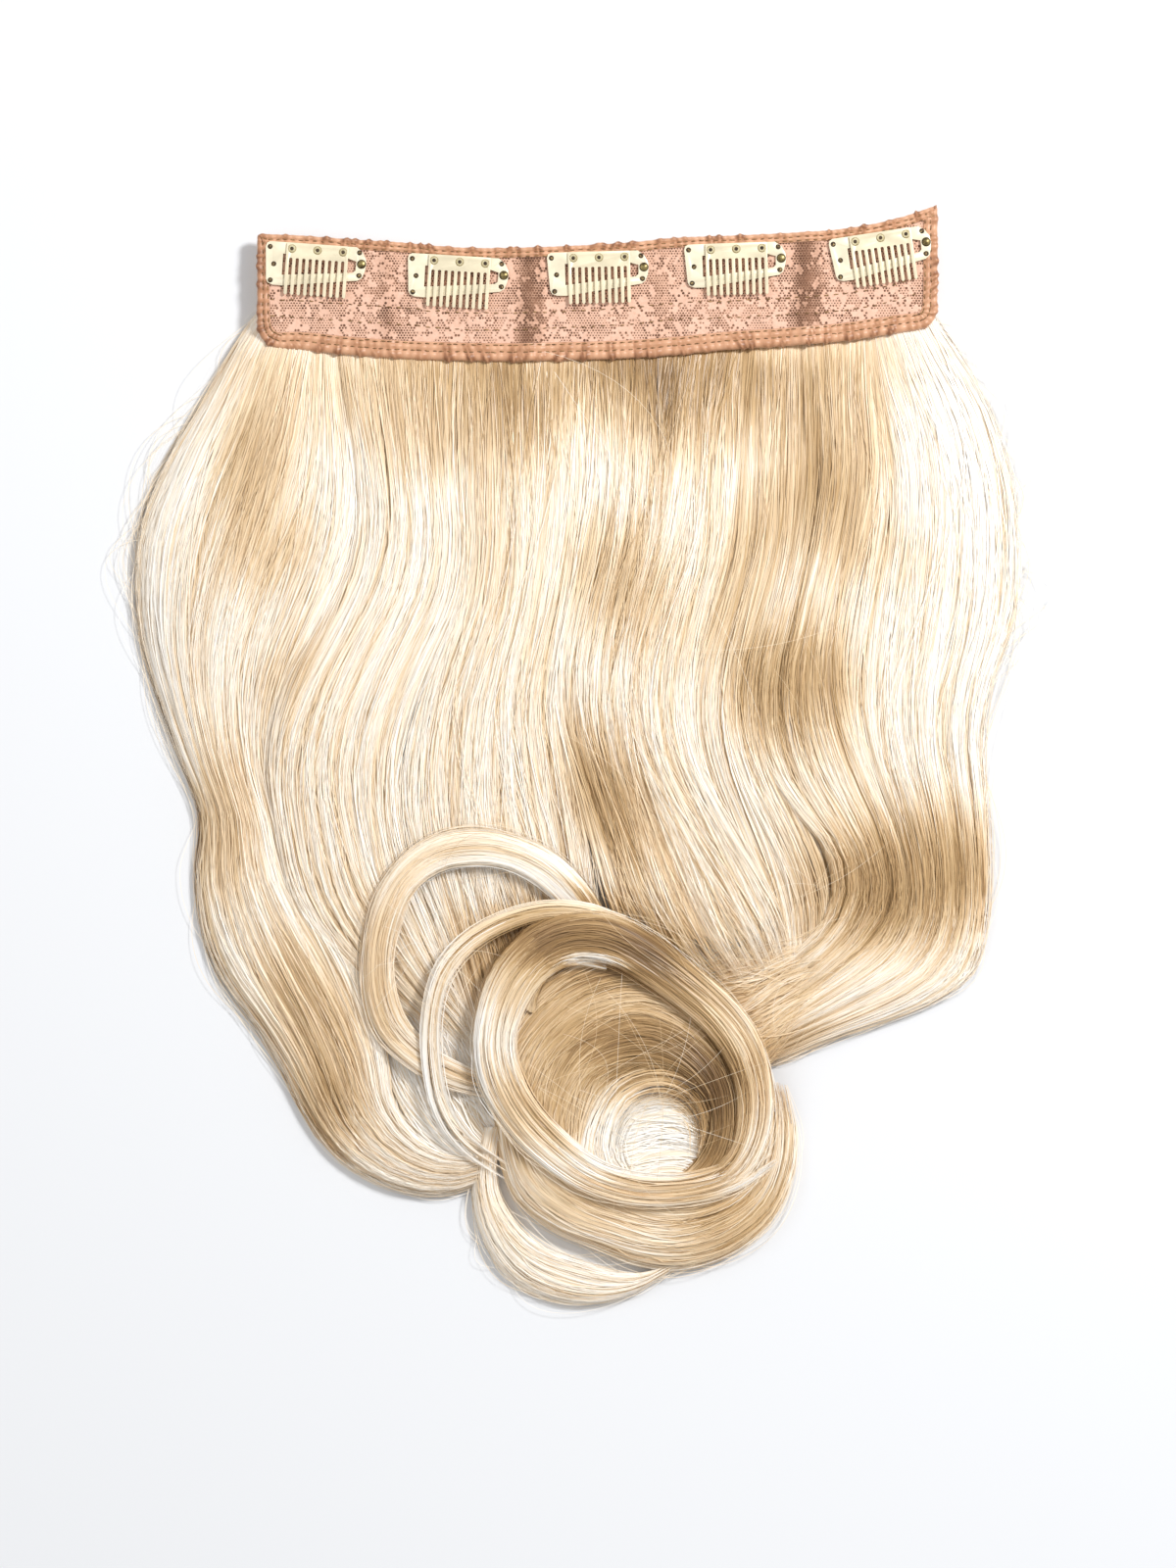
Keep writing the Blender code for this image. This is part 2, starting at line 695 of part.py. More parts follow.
def frame_curve():
    """The stamped frame, open along its top where the rail turns."""
    start, end = rail_ends()
    window_left = COMB_START - RAIL_INSET * 2
    outline = [
        (start - CLIP_GAP, 0.0),
        (start - CLIP_GAP, -RAIL_DEPTH),
        (window_left, -RAIL_DEPTH),
        (window_left, -WINDOW_CORNER_DOWN * CLIP_HEIGHT),
        *(tip_place(p) for p in WINDOW_TIP),
        (end + CLIP_GAP, -RAIL_DEPTH),
        (end + CLIP_GAP, 0.0),
        *(tip_place(p) for p in FRAME_TIP),
        *(heel_place(p) for p in FRAME_HEEL),
    ]
    holes = [round_hole(*heel_place(p), SEWING_HOLE) for p in HEEL_HOLES]
    holes += [round_hole(*tip_place(p), SEWING_HOLE) for p in TIP_HOLES]
    holes.append(round_hole(*tip_place(RIVET_PLACE), RIVET_SHANK + 2 * CLIP_GAP))
    return flat_plate("clip_frame", [outline, *holes], STEEL)


def rail_curve():
    start, end = rail_ends()
    outline = [(start, 0.0), (end, 0.0), (end, -RAIL_DEPTH), (start, -RAIL_DEPTH)]
    holes = [round_hole(x, y, EYELET_BARREL + 2 * CLIP_GAP) for x, y in eyelet_places()]
    return flat_plate("clip_rail", [outline, *holes], STEEL)


def comb_outline():
    """The comb's plate: a spine along the top and teeth with rounded tips."""
    pitch = (COMB_WIDTH - TOOTH_WIDTH) / (TOOTH_COUNT - 1)
    half = TOOTH_WIDTH / 2
    start, end = COMB_START, COMB_START + COMB_WIDTH
    outline = [
        (start, -COMB_CORNER),
        (start + COMB_CORNER, 0.0),
        (end - COMB_CORNER, 0.0),
        (end, -COMB_CORNER),
    ]
    for k in reversed(range(TOOTH_COUNT)):
        middle = start + half + k * pitch
        outline += [
            (middle + half, -COMB_DROP + half),
            (middle, -COMB_DROP),
            (middle - half, -COMB_DROP + half),
        ]
        if k > 0:
            outline += [
                (middle - half, -COMB_SPINE - TOOTH_FILLET),
                (middle - half - TOOTH_FILLET, -COMB_SPINE),
                (middle - pitch + half + TOOTH_FILLET, -COMB_SPINE),
                (middle - pitch + half, -COMB_SPINE - TOOTH_FILLET),
            ]
    return outline


def comb_mesh(guides):
    """The comb, cut across its teeth at their middle and bowed there."""
    holes = [round_hole(x, y, EYELET_BARREL + 2 * CLIP_GAP) for x, y in eyelet_places()]
    curve = flat_plate("comb_outline", [comb_outline(), *holes], COMB_STEEL)
    flat = bpy.data.objects.new("comb_flat", curve)
    guides.objects.link(flat)
    graph = bpy.context.evaluated_depsgraph_get()
    mesh = bpy.data.meshes.new_from_object(flat.evaluated_get(graph))
    bpy.data.objects.remove(flat, do_unlink=True)
    mesh.name = "clip_comb"
    bm = bmesh.new()
    bm.from_mesh(mesh)
    bmesh.ops.remove_doubles(bm, verts=bm.verts, dist=WELD_DISTANCE)
    middle = -(COMB_SPINE + COMB_DROP) / 2
    reach = (COMB_DROP - COMB_SPINE) / 2
    bmesh.ops.bisect_plane(
        bm, geom=bm.verts[:] + bm.edges[:] + bm.faces[:], dist=WELD_DISTANCE,
        plane_co=(0, middle, 0), plane_no=(0, 1, 0),
    )
    for vert in bm.verts:
        if vert.co.y < -COMB_SPINE:
            vert.co.z += COMB_BOW * (1 - ((vert.co.y - middle) / reach) ** 2)
    bm.to_mesh(mesh)
    bm.free()
    return mesh


def turned(name, profile, closed, sides):
    """A profile in X and Z, turned about Z by a Screw modifier."""
    bm = bmesh.new()
    verts = [bm.verts.new((x, 0.0, z)) for x, z in profile]
    for first, second in zip(verts, verts[1:]):
        bm.edges.new((first, second))
    if closed:
        bm.edges.new((verts[-1], verts[0]))
    mesh = mesh_from(bm, name)

    def spin(thing):
        screw = thing.modifiers.new("turn", "SCREW")
        screw.axis = "Z"
        screw.angle = 2 * math.pi
        screw.steps = sides
        screw.render_steps = sides
        screw.use_merge_vertices = True
        screw.merge_threshold = WELD_DISTANCE

    return mesh, spin


def eyelet_profile():
    """From the barrel's bore over the flange and down the outside."""
    top = STEEL + COMB_STEEL + 2 * CLIP_GAP
    return [
        (EYELET_BORE / 2, top + EYELET_RIM),
        (EYELET_FLANGE / 2 - EYELET_RIM, top + EYELET_RIM),
        (EYELET_FLANGE / 2, top),
        (EYELET_BARREL / 2, top),
        (EYELET_BARREL / 2, 0.0),
        (EYELET_BORE / 2, 0.0),
    ]


def rivet_profile():
    """A domed head over the frame and a shank down through it."""
    seat = STEEL + CLIP_GAP
    return [
        (0.0, seat + RIVET_RISE),
        (RIVET_HEAD / 2 * HEAD_CROWN, seat + RIVET_RISE * HEAD_CROWN_RISE),
        (RIVET_HEAD / 2, seat + RIVET_RISE * HEAD_RIM_RISE),
        (RIVET_HEAD / 2, seat),
        (RIVET_SHANK / 2, seat),
        (RIVET_SHANK / 2, 0.0),
        (0.0, 0.0),
    ]


def clips(group, guides, parent):
    """Five clips, each on its own seat, with the comb's pieces under a hinge empty."""
    frame = frame_curve()
    rail = rail_curve()
    comb = comb_mesh(guides)
    eyelet, turn_eyelet = turned("clip_eyelet", eyelet_profile(), True, HOLE_SIDES)
    rivet, turn_rivet = turned("clip_rivet", rivet_profile(), False, TURNED_SIDES)
    for data in (frame, rail, comb):
        data.materials.append(material("cream_enamel"))
    for data in (eyelet, rivet):
        data.materials.append(material("aged_brass"))

    def place(name, data, holder, location):
        piece = bpy.data.objects.new(name, data)
        group.objects.link(piece)
        piece.parent = holder
        piece.location = location
        return piece

    for index, row in enumerate(CLIP_ROWS):
        name = f"clip_{index + 1}"
        seat = add_empty(f"{name}_seat", group, parent)
        seat.location = (row.along * BAND_LENGTH, row.across * BAND_DEPTH, CLIP_SEAT)
        seat.rotation_euler.z = math.radians(row.heading)
        hinge = add_empty(f"{name}_hinge", group, seat)
        place(f"{name}_frame", frame, seat, (0, 0, STEEL / 2))
        turn_rivet(place(f"{name}_rivet", rivet, seat, (*tip_place(RIVET_PLACE), 0)))
        place(f"{name}_rail", rail, hinge, (0, 0, STEEL / 2))
        place(f"{name}_comb", comb, hinge, (0, 0, STEEL + CLIP_GAP + COMB_STEEL / 2))
        for k, (x, y) in enumerate(eyelet_places()):
            turn_eyelet(place(f"{name}_eyelet_{k + 1}", eyelet, hinge, (x, y, 0)))


def hair_level(number, lock):
    """How high a lock's ridge stands: lower at the fall's sides and where the lock ends."""
    row = FALL_ROWS[number]
    if row.rise is None:
        return HAIR_BED
    present = [k for k, x in enumerate(row.locks) if x is not None]
    from_side = min(lock - present[0], present[-1] - lock)
    share = SIDE_SHARES[min(from_side, len(SIDE_SHARES) - 1)]
    if number + 1 == len(FALL_ROWS) or FALL_ROWS[number + 1].locks[lock] is None:
        share = min(share, END_SHARE)
    return row.rise * FALL_HEIGHT * share


def fall_lines():
    """Rows of (x, y, z, lock) for the fall's upper surface, from the weft downwards."""
    lines = []
    for column, inset, locks in (("top", -WEFT_INSET, ROOT_LOCKS), ("middle", 0.0, SIDE_LOCKS)):
        line = []
        for x in locks:
            top = edge_height("top", x)
            bottom = edge_height("bottom", x)
            y = top + inset if column == "top" else (top + bottom) / 2
            line.append((x * BAND_LENGTH, y, HAIR_BED))
        lines.append(line)
    for number, row in enumerate(FALL_ROWS):
        line = []
        for lock, x in enumerate(row.locks):
            if x is None:
                line.append(None)
                continue
            start = edge_height("bottom", SIDE_LOCKS[lock]) - FALL_MARGIN
            y = start - row.down * HAIR_FALL
            line.append((x * BAND_LENGTH, y, hair_level(number, lock)))
        lines.append(line)
    return lines


def fall_mesh():
    """The main fall: ridged above, flat below, with a groove between its locks."""
    bm = bmesh.new()
    grid = []
    for number, line in enumerate(fall_lines()):
        verts = []
        for first, second in zip(line, line[1:] + [None]):
            verts.append(bm.verts.new(first) if first else None)
            if second is None or first is None:
                verts.append(None)
                continue
            groove = 1.0 if number < FLAT_LINES else GROOVE
            middle = (Vector(first) + Vector(second)) / 2
            middle.z = min(first[2], second[2]) * groove
            verts.append(bm.verts.new(middle))
        grid.append(verts)
    for upper, lower in zip(grid, grid[1:]):
        for k in range(len(upper) - 1):
            corners = (upper[k], lower[k], lower[k + 1], upper[k + 1])
            if all(corners):
                bm.faces.new(corners)
    loose = [vert for vert in bm.verts if not vert.link_faces]
    bmesh.ops.delete(bm, geom=loose, context="VERTS")
    rim = [edge for edge in bm.edges if edge.is_boundary]
    walls = bmesh.ops.extrude_edge_only(bm, edges=rim)["geom"]
    floor = [part for part in walls if isinstance(part, bmesh.types.BMVert)]
    for vert in floor:
        vert.co.z = 0.0
    base = [part for part in walls if isinstance(part, bmesh.types.BMEdge)]
    bmesh.ops.contextual_create(bm, geom=base)
    bmesh.ops.recalc_face_normals(bm, faces=bm.faces)
    return mesh_from(bm, "hair")


def lock_section(ridges):
    """A lock's cross-section, from its left side over the ridges and back below."""
    section = [(-1.0, 0.0)]
    steps = 2 * ridges
    for k in range(steps + 1):
        across = CROWN_REACH * (2 * k / steps - 1)
        crown = math.sqrt(1 - across * across)
        ridge = k % 2 == 1 or ridges == 1
        section.append((across, crown * (1.0 if ridge else CURL_GROOVE)))
    section += [
        (1.0, 0.0),
        (UNDERSIDE_REACH, -UNDERSIDE_DEPTH),
        (-UNDERSIDE_REACH, -UNDERSIDE_DEPTH),
    ]
    return section


def lock_mesh(lock):
    """A lock lofted along its route, with a flat-bottomed, ridged cross-section."""
    middle_start = edge_height("bottom", 0.0)
    rows = [
        (row.across * BAND_LENGTH, middle_start - row.down * HAIR_FALL,
         row.height * CURL_HEIGHT, row.width * LOCK_WIDTH / 2, row.depth * LOCK_DEPTH / 2)
        for row in lock.rows
    ]
    stations = smooth_route(rows, lock.closed, lock.stations)
    profile = lock_section(lock.ridges)
    count = len(stations)
    bm = bmesh.new()
    sections = []
    for k, (x, y, z, half_width, half_depth) in enumerate(stations):
        back = stations[k - 1] if lock.closed or k > 0 else stations[k]
        ahead = stations[(k + 1) % count] if lock.closed or k < count - 1 else stations[k]
        along = Vector((ahead[0] - back[0], ahead[1] - back[1])).normalized()
        side = Vector((-along.y, along.x))
        sections.append([
            bm.verts.new((x + side.x * u * half_width, y + side.y * u * half_width, z + v * half_depth))
            for u, v in profile
        ])
    for k in range(count if lock.closed else count - 1):
        bridge(bm, sections[k], sections[(k + 1) % count])
    if not lock.closed:
        bm.faces.new(sections[0])
        bm.faces.new(sections[-1])
    bmesh.ops.recalc_face_normals(bm, faces=bm.faces)
    return mesh_from(bm, lock.name)


def hair(group, lock_group, parent):
    """The fall with every lock and curl fused to it."""
    thing = add_object("hair", fall_mesh(), "blonde_hair", group, parent)
    for lock in LOCKS:
        piece = add_object(lock.name, lock_mesh(lock), "blonde_hair", lock_group, parent)
        piece.hide_render = True
        piece.display_type = "WIRE"
        fuse = thing.modifiers.new(f"fuse_{lock.name}", "BOOLEAN")
        fuse.operation = "UNION"
        fuse.solver = "EXACT"
        fuse.object = piece


def centre_on_floor(group, origin):
    """Move the whole model so that its box stands on the floor about the origin."""
    bpy.context.view_layer.update()
    graph = bpy.context.evaluated_depsgraph_get()
    corners = []
    for thing in group.objects:
        if thing.type == "EMPTY":
            continue
        shown = thing.evaluated_get(graph)
        mesh = shown.to_mesh()
        corners += [shown.matrix_world @ vert.co for vert in mesh.vertices]
        shown.to_mesh_clear()
    low = [min(c[axis] for c in corners) for axis in range(3)]
    high = [max(c[axis] for c in corners) for axis in range(3)]
    origin.location = (-(low[0] + high[0]) / 2, -(low[1] + high[1]) / 2, -low[2])
    bpy.context.view_layer.update()


def build():
    clear_scene()
    group = new_collection("hair_extension")
    guides = new_collection("locks_and_guides")
    origin = add_empty("extension_origin", group)
    outline = band_outline()
    lace_panel(outline, group, origin)
    binding(outline, group, origin)
    clips(group, guides, origin)
    hair(group, guides, origin)
    centre_on_floor(group, origin)


build()
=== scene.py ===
"""The looks of the clip-in hair extension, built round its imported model.

Lengths are in metres. X runs along the band, the hair falls towards -Y, and +Z is up. A place
that was read from the picture is in its pixels, 1200 wide and 1600 high, and picture() turns it
into metres.
"""
import json
import math
from collections import namedtuple

import bmesh
import bpy
import numpy as np
from mathutils import Matrix, Vector


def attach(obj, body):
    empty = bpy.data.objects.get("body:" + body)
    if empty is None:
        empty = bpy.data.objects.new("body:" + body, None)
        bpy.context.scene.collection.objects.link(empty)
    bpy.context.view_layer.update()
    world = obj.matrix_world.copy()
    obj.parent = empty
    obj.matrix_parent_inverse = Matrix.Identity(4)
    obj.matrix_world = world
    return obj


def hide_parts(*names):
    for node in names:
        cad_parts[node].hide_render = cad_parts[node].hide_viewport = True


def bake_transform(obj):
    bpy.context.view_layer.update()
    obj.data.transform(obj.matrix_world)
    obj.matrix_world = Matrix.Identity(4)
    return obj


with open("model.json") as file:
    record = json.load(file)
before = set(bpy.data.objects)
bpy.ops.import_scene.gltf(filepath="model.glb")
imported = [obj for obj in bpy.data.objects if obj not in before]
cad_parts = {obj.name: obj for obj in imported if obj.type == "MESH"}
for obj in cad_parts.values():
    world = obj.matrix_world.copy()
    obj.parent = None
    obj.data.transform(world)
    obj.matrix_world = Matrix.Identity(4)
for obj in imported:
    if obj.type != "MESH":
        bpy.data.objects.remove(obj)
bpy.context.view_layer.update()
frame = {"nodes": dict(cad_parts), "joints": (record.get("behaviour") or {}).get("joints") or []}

# Picture
PIXEL = 0.000363
PICTURE_SIZE = (1200, 1600)
VIEW_CENTRE = (0.0037, -0.0110)
CAMERA_HEIGHT = 2.4
SENSOR = 36.0

# Heights of the band's layers
CLOTH_TOP = 0.0103
CLOTH_THICK = 0.0004
BAND_TOP = 0.0106

# Strands: width, how far they lean, how many share a clump, and the share that strays
STRAND_WIDTH = 0.00040
STRAND_WIDTHS = (0.55, 1.3)
ROLL = math.radians(16)
TWIST = 1.2
STRANDS_IN_CLUMP = 36
STRAY_SHARE = 0.035
STRAY_REACH = 0.12
STRAY_RISE = 0.0012
CLUMP_SWAY = 0.028
STRAND_SWAY = 0.016
TIP_TAPER = 0.10

# How far a strand sinks among the others, and how much its clump stands up or waves
SINK = 0.0006
LUMP = (-0.00035, 0.00045)
WAVE = 0.0003
LOWEST_STRAND = 0.0003

# How far strands gather into their clumps at the lock's start, how much more at its tip, how
# much more in a loose lock, and the most
GATHER_START = 0.30
GATHER_GROWTH = 0.42
GATHER_LOOSE = 1.6
GATHER_LIMIT = 0.88

# The grooves between wisps: how far they push strands aside, how deep they are, how they sway,
# how strong each is and where along the lock it opens
GROOVE_REACH = 0.00060
GROOVE_DEPTH = 0.0011
GROOVE_SWAY = 0.030
GROOVE_RATES = (0.7, 1.7)
GROOVE_STRENGTHS = (0.35, 1.0)
GROOVE_OPENS = (0.02, 0.40)

# The painted shade in the grooves and on the strands that sink among the others, and how far a
# strand's own tone shifts along it (metres, for its wisp, its clump and itself)
GROOVE_SHADE = 0.72
SUNK_SHADE = 400
WISP_SHIFT = 0.0030
CLUMP_SHIFT = 0.0042
STRAND_SHIFT = 0.0026
TONE_LIMIT = 1.5
SHADE_SPREAD = (0.040, 0.045)
DARK_SHARE = 0.05
DARK_SHADE = 0.22

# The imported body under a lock: its grid, where it starts along the lock, how far it stays from
# the lock's edges, how far under the strands, its least and greatest depth, its ridges, and
# the loosest lock that has one
BODY_STATION = 0.006
BODY_COLUMNS = 22
BODY_START = 0.004
BODY_TAIL = 0.55
BODY_SPAN = (0.06, 0.94)
BODY_SINK = 0.0007
BODY_LOWEST = 0.0009
BODY_THINNEST = 0.0006
BODY_DEPTH = 0.0075
BROAD_RIDGE = 0.0004
FINE_RIDGE = 0.0003
LOOSEST_BODY = 0.15
STREAK_LENGTH = 0.05

TABLE_STATIONS = 240
CURVE_STEPS = 24

random = np.random.default_rng(41)


def picture(px, py):
    """Metres from pixels of the picture."""
    x = VIEW_CENTRE[0] + (px - PICTURE_SIZE[0] / 2) * PIXEL
    y = VIEW_CENTRE[1] + (PICTURE_SIZE[1] / 2 - py) * PIXEL
    return x, y


# Materials

def new_material(name):
    """A new material, its node tree and its surface shader."""
    made = bpy.data.materials.new(name)
    made.use_nodes = True
    return made, made.node_tree, made.node_tree.nodes["Principled BSDF"]


def node(tree, kind, **settings):
    """A new node with its sockets and properties set."""
    made = tree.nodes.new(kind)
    for key, value in settings.items():
        if key in made.inputs:
            made.inputs[key].default_value = value
        else:
            setattr(made, key, value)
    return made


def colour_ramp(tree, stops):
    """A ramp with a colour at each stop."""
    ramp = node(tree, "ShaderNodeValToRGB")
    points = ramp.color_ramp.elements
    points[0].position, points[0].color = stops[0][0], (*stops[0][1], 1.0)
    points[1].position, points[1].color = stops[-1][0], (*stops[-1][1], 1.0)
    for place, colour in stops[1:-1]:
        points.new(place).color = (*colour, 1.0)
    return ramp


def bump(tree, shader, height, strength, distance):
    """Fine relief on the surface, from a height."""
    made = node(tree, "ShaderNodeBump", Strength=strength, Distance=distance)
    tree.links.new(height, made.inputs["Height"])
    tree.links.new(made.outputs["Normal"], shader.inputs["Normal"])


def colour_from(tree, shader, value, stops, rough):
    """Colours the surface by a value, through a ramp."""
    ramp = colour_ramp(tree, stops)
    tree.links.new(value, ramp.inputs["Fac"])
    tree.links.new(ramp.outputs["Color"], shader.inputs["Base Color"])
    shader.inputs["Roughness"].default_value = rough


def noise(tree, scale, detail, grain=0.5):
    """Fine noise on the object's own coordinates."""
    place = node(tree, "ShaderNodeTexCoord")
    made = node(tree, "ShaderNodeTexNoise", Scale=scale, Detail=detail, Roughness=grain)
    tree.links.new(place.outputs["Object"], made.inputs["Vector"])
    return made.outputs["Fac"]


def mesh_value(tree, name):
    """A mesh's own values, by their name."""
    return node(tree, "ShaderNodeAttribute", attribute_name=name).outputs["Fac"]


def calculated(tree, operation, *values):
    """The result of a calculation on links and plain numbers."""
    made = node(tree, "ShaderNodeMath", operation=operation)
    for number, value in enumerate(values):
        if isinstance(value, (int, float)):
            made.inputs[number].default_value = value
        else:
            tree.links.new(value, made.inputs[number])
    return made.outputs[0]


def hair_material():
    """Blonde fibre: tone says how dark a stretch is, mostly painted shade and highlight of the
    waves, grooves and sunk strands; shade says how one strand differs.
    """
    made, tree, shader = new_material("blonde_fibre")
    total = calculated(tree, "ADD", mesh_value(tree, "tone"), mesh_value(tree, "shade"))
    scaled = calculated(tree, "MULTIPLY", total, 1 / TONE_LIMIT)
    colour_from(tree, shader, scaled, [
        (0.00, (1.000, 0.965, 0.910)),
        (0.10, (1.000, 0.905, 0.770)),
        (0.27, (0.880, 0.690, 0.455)),
        (0.50, (0.640, 0.435, 0.220)),
        (0.68, (0.430, 0.262, 0.112)),
        (1.00, (0.200, 0.108, 0.042)),
    ], 0.36)
    shader.inputs["Specular IOR Level"].default_value = 0.45
    return made


def body_material():
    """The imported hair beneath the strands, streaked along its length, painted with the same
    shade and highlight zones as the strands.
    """
    made, tree, shader = new_material("packed_fibre")
    place = node(tree, "ShaderNodeUVMap", uv_map="UVMap")
    stretch = node(tree, "ShaderNodeMapping")
    stretch.inputs["Scale"].default_value = (150.0, 1.6, 1.0)
    tree.links.new(place.outputs["UV"], stretch.inputs["Vector"])
    streaks = node(tree, "ShaderNodeTexNoise", Scale=1.0, Detail=4.0, Roughness=0.65)
    tree.links.new(stretch.outputs["Vector"], streaks.inputs["Vector"])
    spread = node(tree, "ShaderNodeMapRange", **{
        "From Min": 0.30, "From Max": 0.70, "To Min": 0.02, "To Max": 0.34,
    })
    tree.links.new(streaks.outputs["Fac"], spread.inputs["Value"])
    total = calculated(tree, "ADD", mesh_value(tree, "tone"), spread.outputs["Result"])
    colour_from(tree, shader, total, [
        (0.00, (1.000, 0.900, 0.740)),
        (0.35, (0.900, 0.700, 0.460)),
        (1.00, (0.420, 0.250, 0.105)),
    ], 0.45)
    bump(tree, shader, streaks.outputs["Fac"], 0.6, 0.0006)
    return made


# Hair routes. A row crosses a lock: its left and right edge in the picture's pixels, as seen
# where the strands run down the picture, and how high its crown stands (metres).
Row = namedtuple("Row", "left_x left_y right_x right_y height")
Swath = namedtuple("Swath", "name strands edges rows ends wisps step loose tint")

LEFT_OUTER = [
    Row(276, 300, 345, 335, 0.0066),
    Row(246, 335, 352, 400, 0.0104),
    Row(207, 402, 364, 470, 0.0126),
    Row(169, 468, 367, 530, 0.0134),
    Row(144, 530, 355, 585, 0.0134),
    Row(137, 590, 330, 640, 0.0128),
    Row(142, 645, 305, 690, 0.0114),
    Row(158, 705, 288, 738, 0.0106),
    Row(180, 768, 283, 788, 0.0102),
    Row(204, 832, 292, 838, 0.0106),
    Row(199, 890, 308, 892, 0.0108),
    Row(206, 950, 336, 940, 0.0108),
    Row(226, 1000, 362, 988, 0.0106),
    Row(258, 1045, 380, 1036, 0.0104),
    Row(287, 1092, 392, 1078, 0.0102),
    Row(312, 1142, 396, 1112, 0.0098),
    Row(345, 1184, 410, 1144, 0.0094),
    Row(395, 1213, 436, 1170, 0.0088),
    Row(450, 1222, 472, 1182, 0.0080),
    Row(507, 1205, 504, 1176, 0.0070),
]
LEFT_MIDDLE = [
    Row(340, 333, 478, 340, 0.0066),
    Row(350, 400, 474, 420, 0.0118),
    Row(361, 470, 474, 490, 0.0136),
    Row(363, 530, 478, 560, 0.0142),
    Row(350, 585, 468, 620, 0.0140),
    Row(323, 640, 445, 670, 0.0136),
    Row(296, 690, 425, 720, 0.0130),
    Row(278, 740, 412, 770, 0.0128),
    Row(272, 790, 408, 815, 0.0126),
    Row(279, 840, 412, 860, 0.0124),
    Row(289, 895, 422, 900, 0.0120),
    Row(308, 938, 437, 938, 0.0112),
    Row(338, 974, 452, 976, 0.0100),
    Row(372, 1006, 470, 1014, 0.0088),
    Row(408, 1036, 492, 1048, 0.0074),
    Row(445, 1068, 512, 1080, 0.0060),
]
MIDDLE = [
    Row(466, 340, 612, 345, 0.0066),
    Row(468, 420, 614, 420, 0.0120),
    Row(470, 490, 614, 490, 0.0140),
    Row(474, 560, 602, 560, 0.0145),
    Row(466, 620, 590, 620, 0.0143),
    Row(446, 670, 580, 670, 0.0140),
    Row(427, 720, 576, 720, 0.0136),
    Row(414, 770, 584, 770, 0.0132),
    Row(409, 815, 592, 815, 0.0126),
    Row(413, 860, 600, 858, 0.0118),
    Row(424, 905, 606, 900, 0.0110),
    Row(440, 950, 612, 945, 0.0100),
    Row(458, 1000, 618, 992, 0.0090),
    Row(474, 1050, 622, 1040, 0.0080),
    Row(488, 1096, 630, 1085, 0.0068),
]
RIGHT_SWIRL = [
    Row(602, 345, 765, 345, 0.0066),
    Row(606, 420, 754, 420, 0.0120),
    Row(606, 490, 750, 490, 0.0140),
    Row(596, 560, 744, 555, 0.0145),
    Row(582, 620, 726, 615, 0.0143),
    Row(572, 680, 710, 670, 0.0140),
    Row(573, 735, 706, 725, 0.0136),
    Row(584, 785, 716, 775, 0.0132),
    Row(597, 835, 736, 818, 0.0128),
    Row(610, 885, 758, 860, 0.0124),
    Row(626, 935, 780, 902, 0.0116),
    Row(652, 980, 798, 945, 0.0106),
    Row(690, 1015, 808, 985, 0.0092),
]
RIGHT_INNER = [
    Row(755, 345, 825, 340, 0.0066),
    Row(750, 420, 826, 415, 0.0116),
    Row(747, 490, 824, 485, 0.0134),
    Row(740, 560, 818, 555, 0.0138),
    Row(722, 620, 804, 620, 0.0136),
    Row(704, 680, 790, 680, 0.0132),
    Row(700, 735, 788, 737, 0.0126),
    Row(708, 785, 802, 790, 0.0120),
    Row(724, 830, 824, 835, 0.0112),
    Row(744, 875, 842, 878, 0.0104),
    Row(762, 915, 850, 918, 0.0096),
    Row(776, 952, 846, 955, 0.0088),
    Row(784, 990, 836, 990, 0.0078),
    Row(782, 1028, 818, 1030, 0.0064),
]
RIGHT_MIDDLE = [
    Row(812, 342, 890, 335, 0.0066),
    Row(814, 418, 892, 408, 0.0118),
    Row(814, 486, 897, 478, 0.0136),
    Row(806, 556, 887, 550, 0.0140),
    Row(792, 620, 872, 620, 0.0140),
    Row(776, 680, 864, 680, 0.0138),
    Row(772, 735, 870, 735, 0.0134),
    Row(784, 786, 887, 790, 0.0132),
    Row(812, 828, 907, 840, 0.0130),
    Row(838, 858, 920, 890, 0.0128),
    Row(850, 890, 918, 935, 0.0124),
    Row(850, 918, 892, 970, 0.0118),
    Row(838, 945, 857, 997, 0.0110),
    Row(815, 966, 822, 1022, 0.0096),
    Row(788, 988, 786, 1048, 0.0074),
]
RIGHT_OUTER = [
    Row(880, 335, 938, 300, 0.0066),
    Row(884, 400, 970, 345, 0.0108),
    Row(892, 470, 1010, 415, 0.0122),
    Row(888, 540, 1035, 495, 0.0128),
    Row(874, 610, 1042, 570, 0.0130),
    Row(864, 675, 1035, 635, 0.0128),
    Row(866, 730, 1014, 695, 0.0124),
    Row(880, 785, 1003, 755, 0.0122),
    Row(900, 835, 1007, 820, 0.0120),
    Row(915, 885, 1009, 885, 0.0118),
    Row(915, 930, 1006, 945, 0.0116),
    Row(895, 965, 992, 992, 0.0112),
    Row(862, 992, 955, 1022, 0.0106),
    Row(828, 1015, 900, 1045, 0.0098),
    Row(800, 1035, 850, 1062, 0.0086),
    Row(776, 1050, 786, 1090, 0.0066),
]
UPPER_RING = [
    Row(622, 940, 604, 958, 0.0110),
    Row(600, 902, 574, 926, 0.0150),
    Row(566, 870, 547, 900, 0.0170),
    Row(524, 852, 516, 884, 0.0180),
    Row(480, 846, 482, 880, 0.0182),
    Row(438, 856, 449, 886, 0.0180),
    Row(404, 882, 422, 906, 0.0174),
    Row(381, 922, 407, 940, 0.0166),
    Row(371, 972, 399, 977, 0.0156),
    Row(373, 1018, 402, 1013, 0.0146),
    Row(388, 1058, 414, 1044, 0.0138),
    Row(422, 1090, 440, 1070, 0.0130),
    Row(460, 1110, 468, 1086, 0.0118),
    Row(505, 1122, 502, 1100, 0.0100),
]
